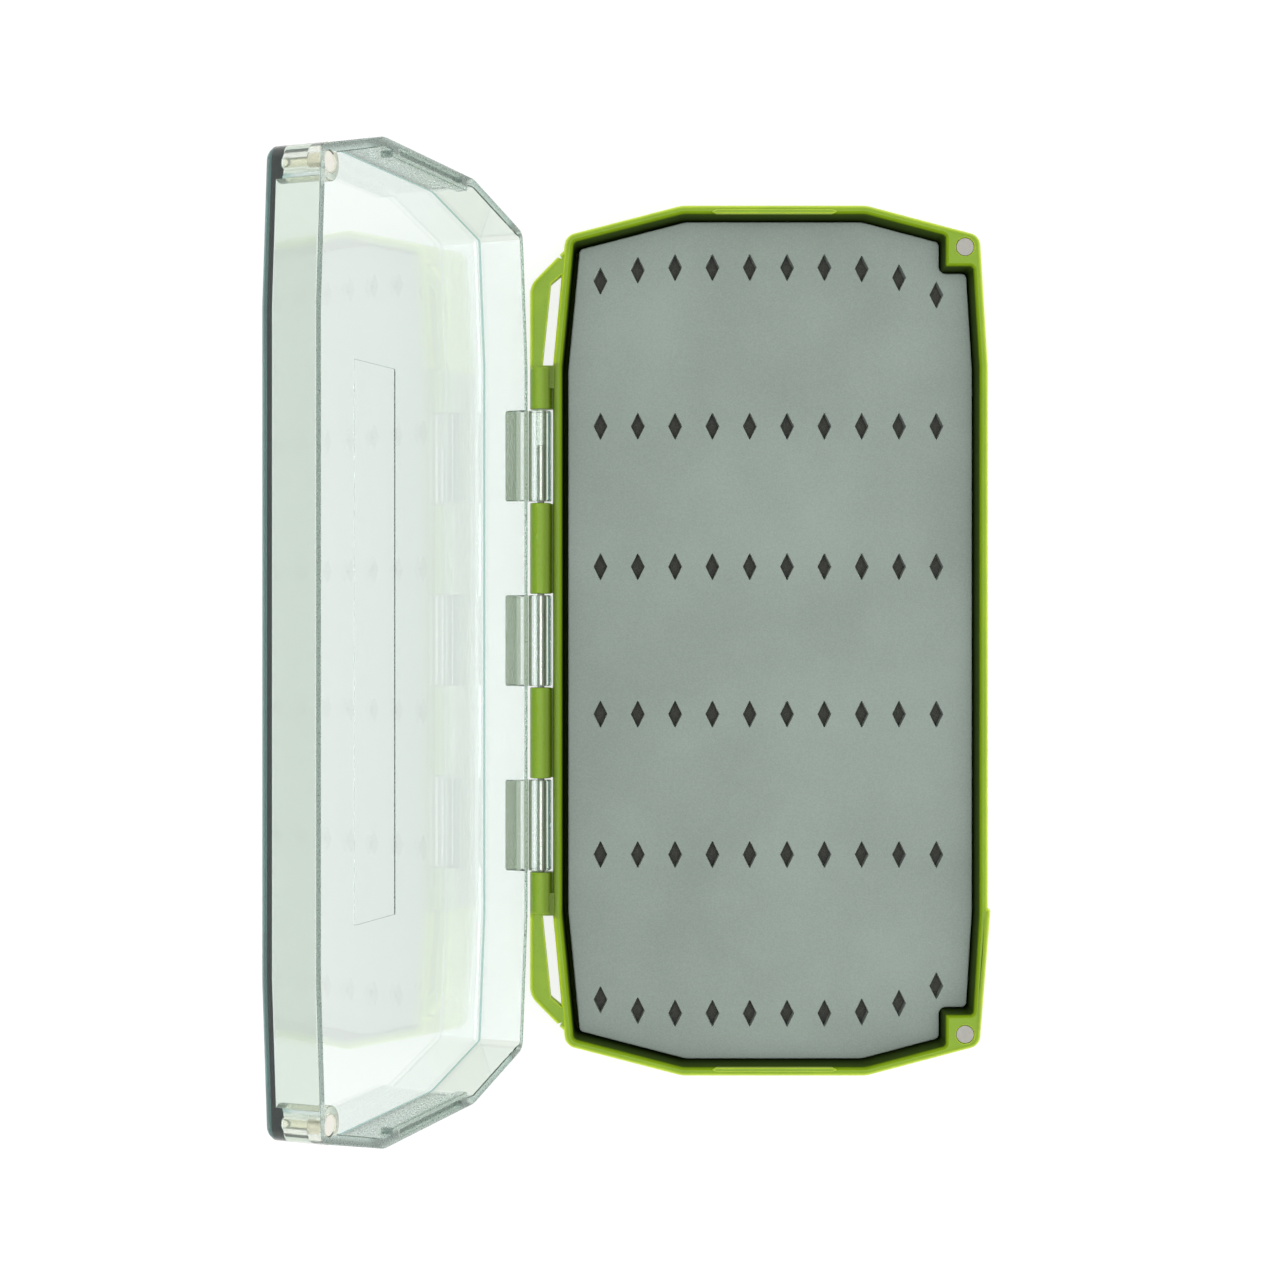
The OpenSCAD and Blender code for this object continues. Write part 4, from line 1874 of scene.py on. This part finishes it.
@dataclass
class Studio:
    """Floor, lamps, world and camera."""

    table_r: float = 3.0
    table_gap: float = 0.00005
    white_to: float = 0.12
    dim_from: float = 0.75
    overhead: float = 0.45
    eye: tuple[float, float, float] = (-33.5, 2.8, 494.0)
    focal_px: float = 2118.0
    frame_px: float = 1280.0
    axis_px: Point = (622.3, 628.2)
    lamps: tuple[Softbox, ...] = (
        Softbox("lamp_left", 180, 74, 2.2),
        Softbox("lamp_right", 0, 74, 2.3),
        Softbox("lamp_far", 90, 76, 2.1),
        Softbox("lamp_near", 270, 72, 2.7),
        Softbox("lamp_over", 0, 90, 5.0, 1.3),
    )

    def build(self) -> None:
        """Set up the whole studio."""
        self.floor()
        self.light()
        self.camera()

    def floor(self) -> None:
        """Lay a large round table top just under the case."""
        mesh = bpy.data.meshes.new("table")
        with edited(mesh) as work:
            bmesh.ops.create_circle(work, cap_ends=True, segments=96, radius=self.table_r)
        mesh.materials.append(WhiteTable("matt_white_table").material())
        table = bpy.data.objects.new("table", mesh)
        table.location = (0, 0, -self.table_gap)
        bpy.context.scene.collection.objects.link(table)

    def light(self) -> None:
        """Hang the lamps and set the world."""
        scene = bpy.context.scene
        for lamp in self.lamps:
            data = bpy.data.lights.new(lamp.name, "AREA")
            data.shape = "SQUARE"
            data.size = lamp.size
            data.energy = lamp.power
            obj = bpy.data.objects.new(lamp.name, data)
            obj.visible_glossy = False
            turn, rise = math.radians(lamp.azimuth), math.radians(lamp.elevation)
            way = Vector((math.cos(turn) * math.cos(rise), math.sin(turn) * math.cos(rise), math.sin(rise)))
            obj.location = way * lamp.distance
            obj.rotation_euler = way.to_track_quat("Z", "Y").to_euler()
            scene.collection.objects.link(obj)
        world = bpy.data.worlds.new("studio")
        scene.world = world
        world.use_nodes = True
        tree = world.node_tree
        tree.nodes.clear()
        way_out = add_node(tree, "TexCoord").outputs["Generated"]
        strength = add_node(tree, "MapRange", {
            "interpolation_type": "SMOOTHSTEP",
            "From Min": self.white_to,
            "From Max": self.dim_from,
            "To Min": 1.0,
            "To Max": self.overhead,
            "Value": add_node(tree, "SeparateXYZ", {"Vector": way_out}).outputs["Z"],
        })
        back = add_node(tree, "Background", {"Color": WHITE, "Strength": strength})
        add_node(tree, "OutputWorld", {"Surface": back})

    def camera(self) -> None:
        """Hang the camera straight above the case, as in the photograph."""
        data = bpy.data.cameras.new("camera")
        data.sensor_width = 36.0
        data.lens = self.focal_px / self.frame_px * data.sensor_width
        data.shift_x = 0.5 - self.axis_px[0] / self.frame_px
        data.shift_y = self.axis_px[1] / self.frame_px - 0.5
        data.clip_start = 0.01
        data.clip_end = 20.0
        obj = bpy.data.objects.new("camera", data)
        obj.location = tuple(v * MM for v in self.eye)
        bpy.context.scene.collection.objects.link(obj)
        bpy.context.scene.camera = obj
        bpy.context.scene.view_settings.view_transform = "Standard"


def main() -> None:
    """Build the case and the studio."""
    logging.basicConfig(level=logging.INFO, format="%(name)s: %(message)s")
    plan = CasePlan()
    green = TintedPolycarbonate("green_polycarbonate_satin")
    inner = InnerPolycarbonate("green_polycarbonate_inner_wall")
    clear = ClearPolycarbonate("clear_polycarbonate_smoke")
    Tray(plan, green, inner).build()
    Lid(plan, clear).build()
    HingePin(plan, DrawnSteel("stainless_drawn_wire")).build()
    pad = HookPad(plan, MouldedSilicone("silicone_grey_satin"), ClosedCellFoam("eva_foam_black"))
    pad.sheet()
    pad.backing()
    Magnets(plan, NickelPlate("neodymium_nickel_plated")).build()
    Studio().build()


if __name__ == "__main__":
    main()
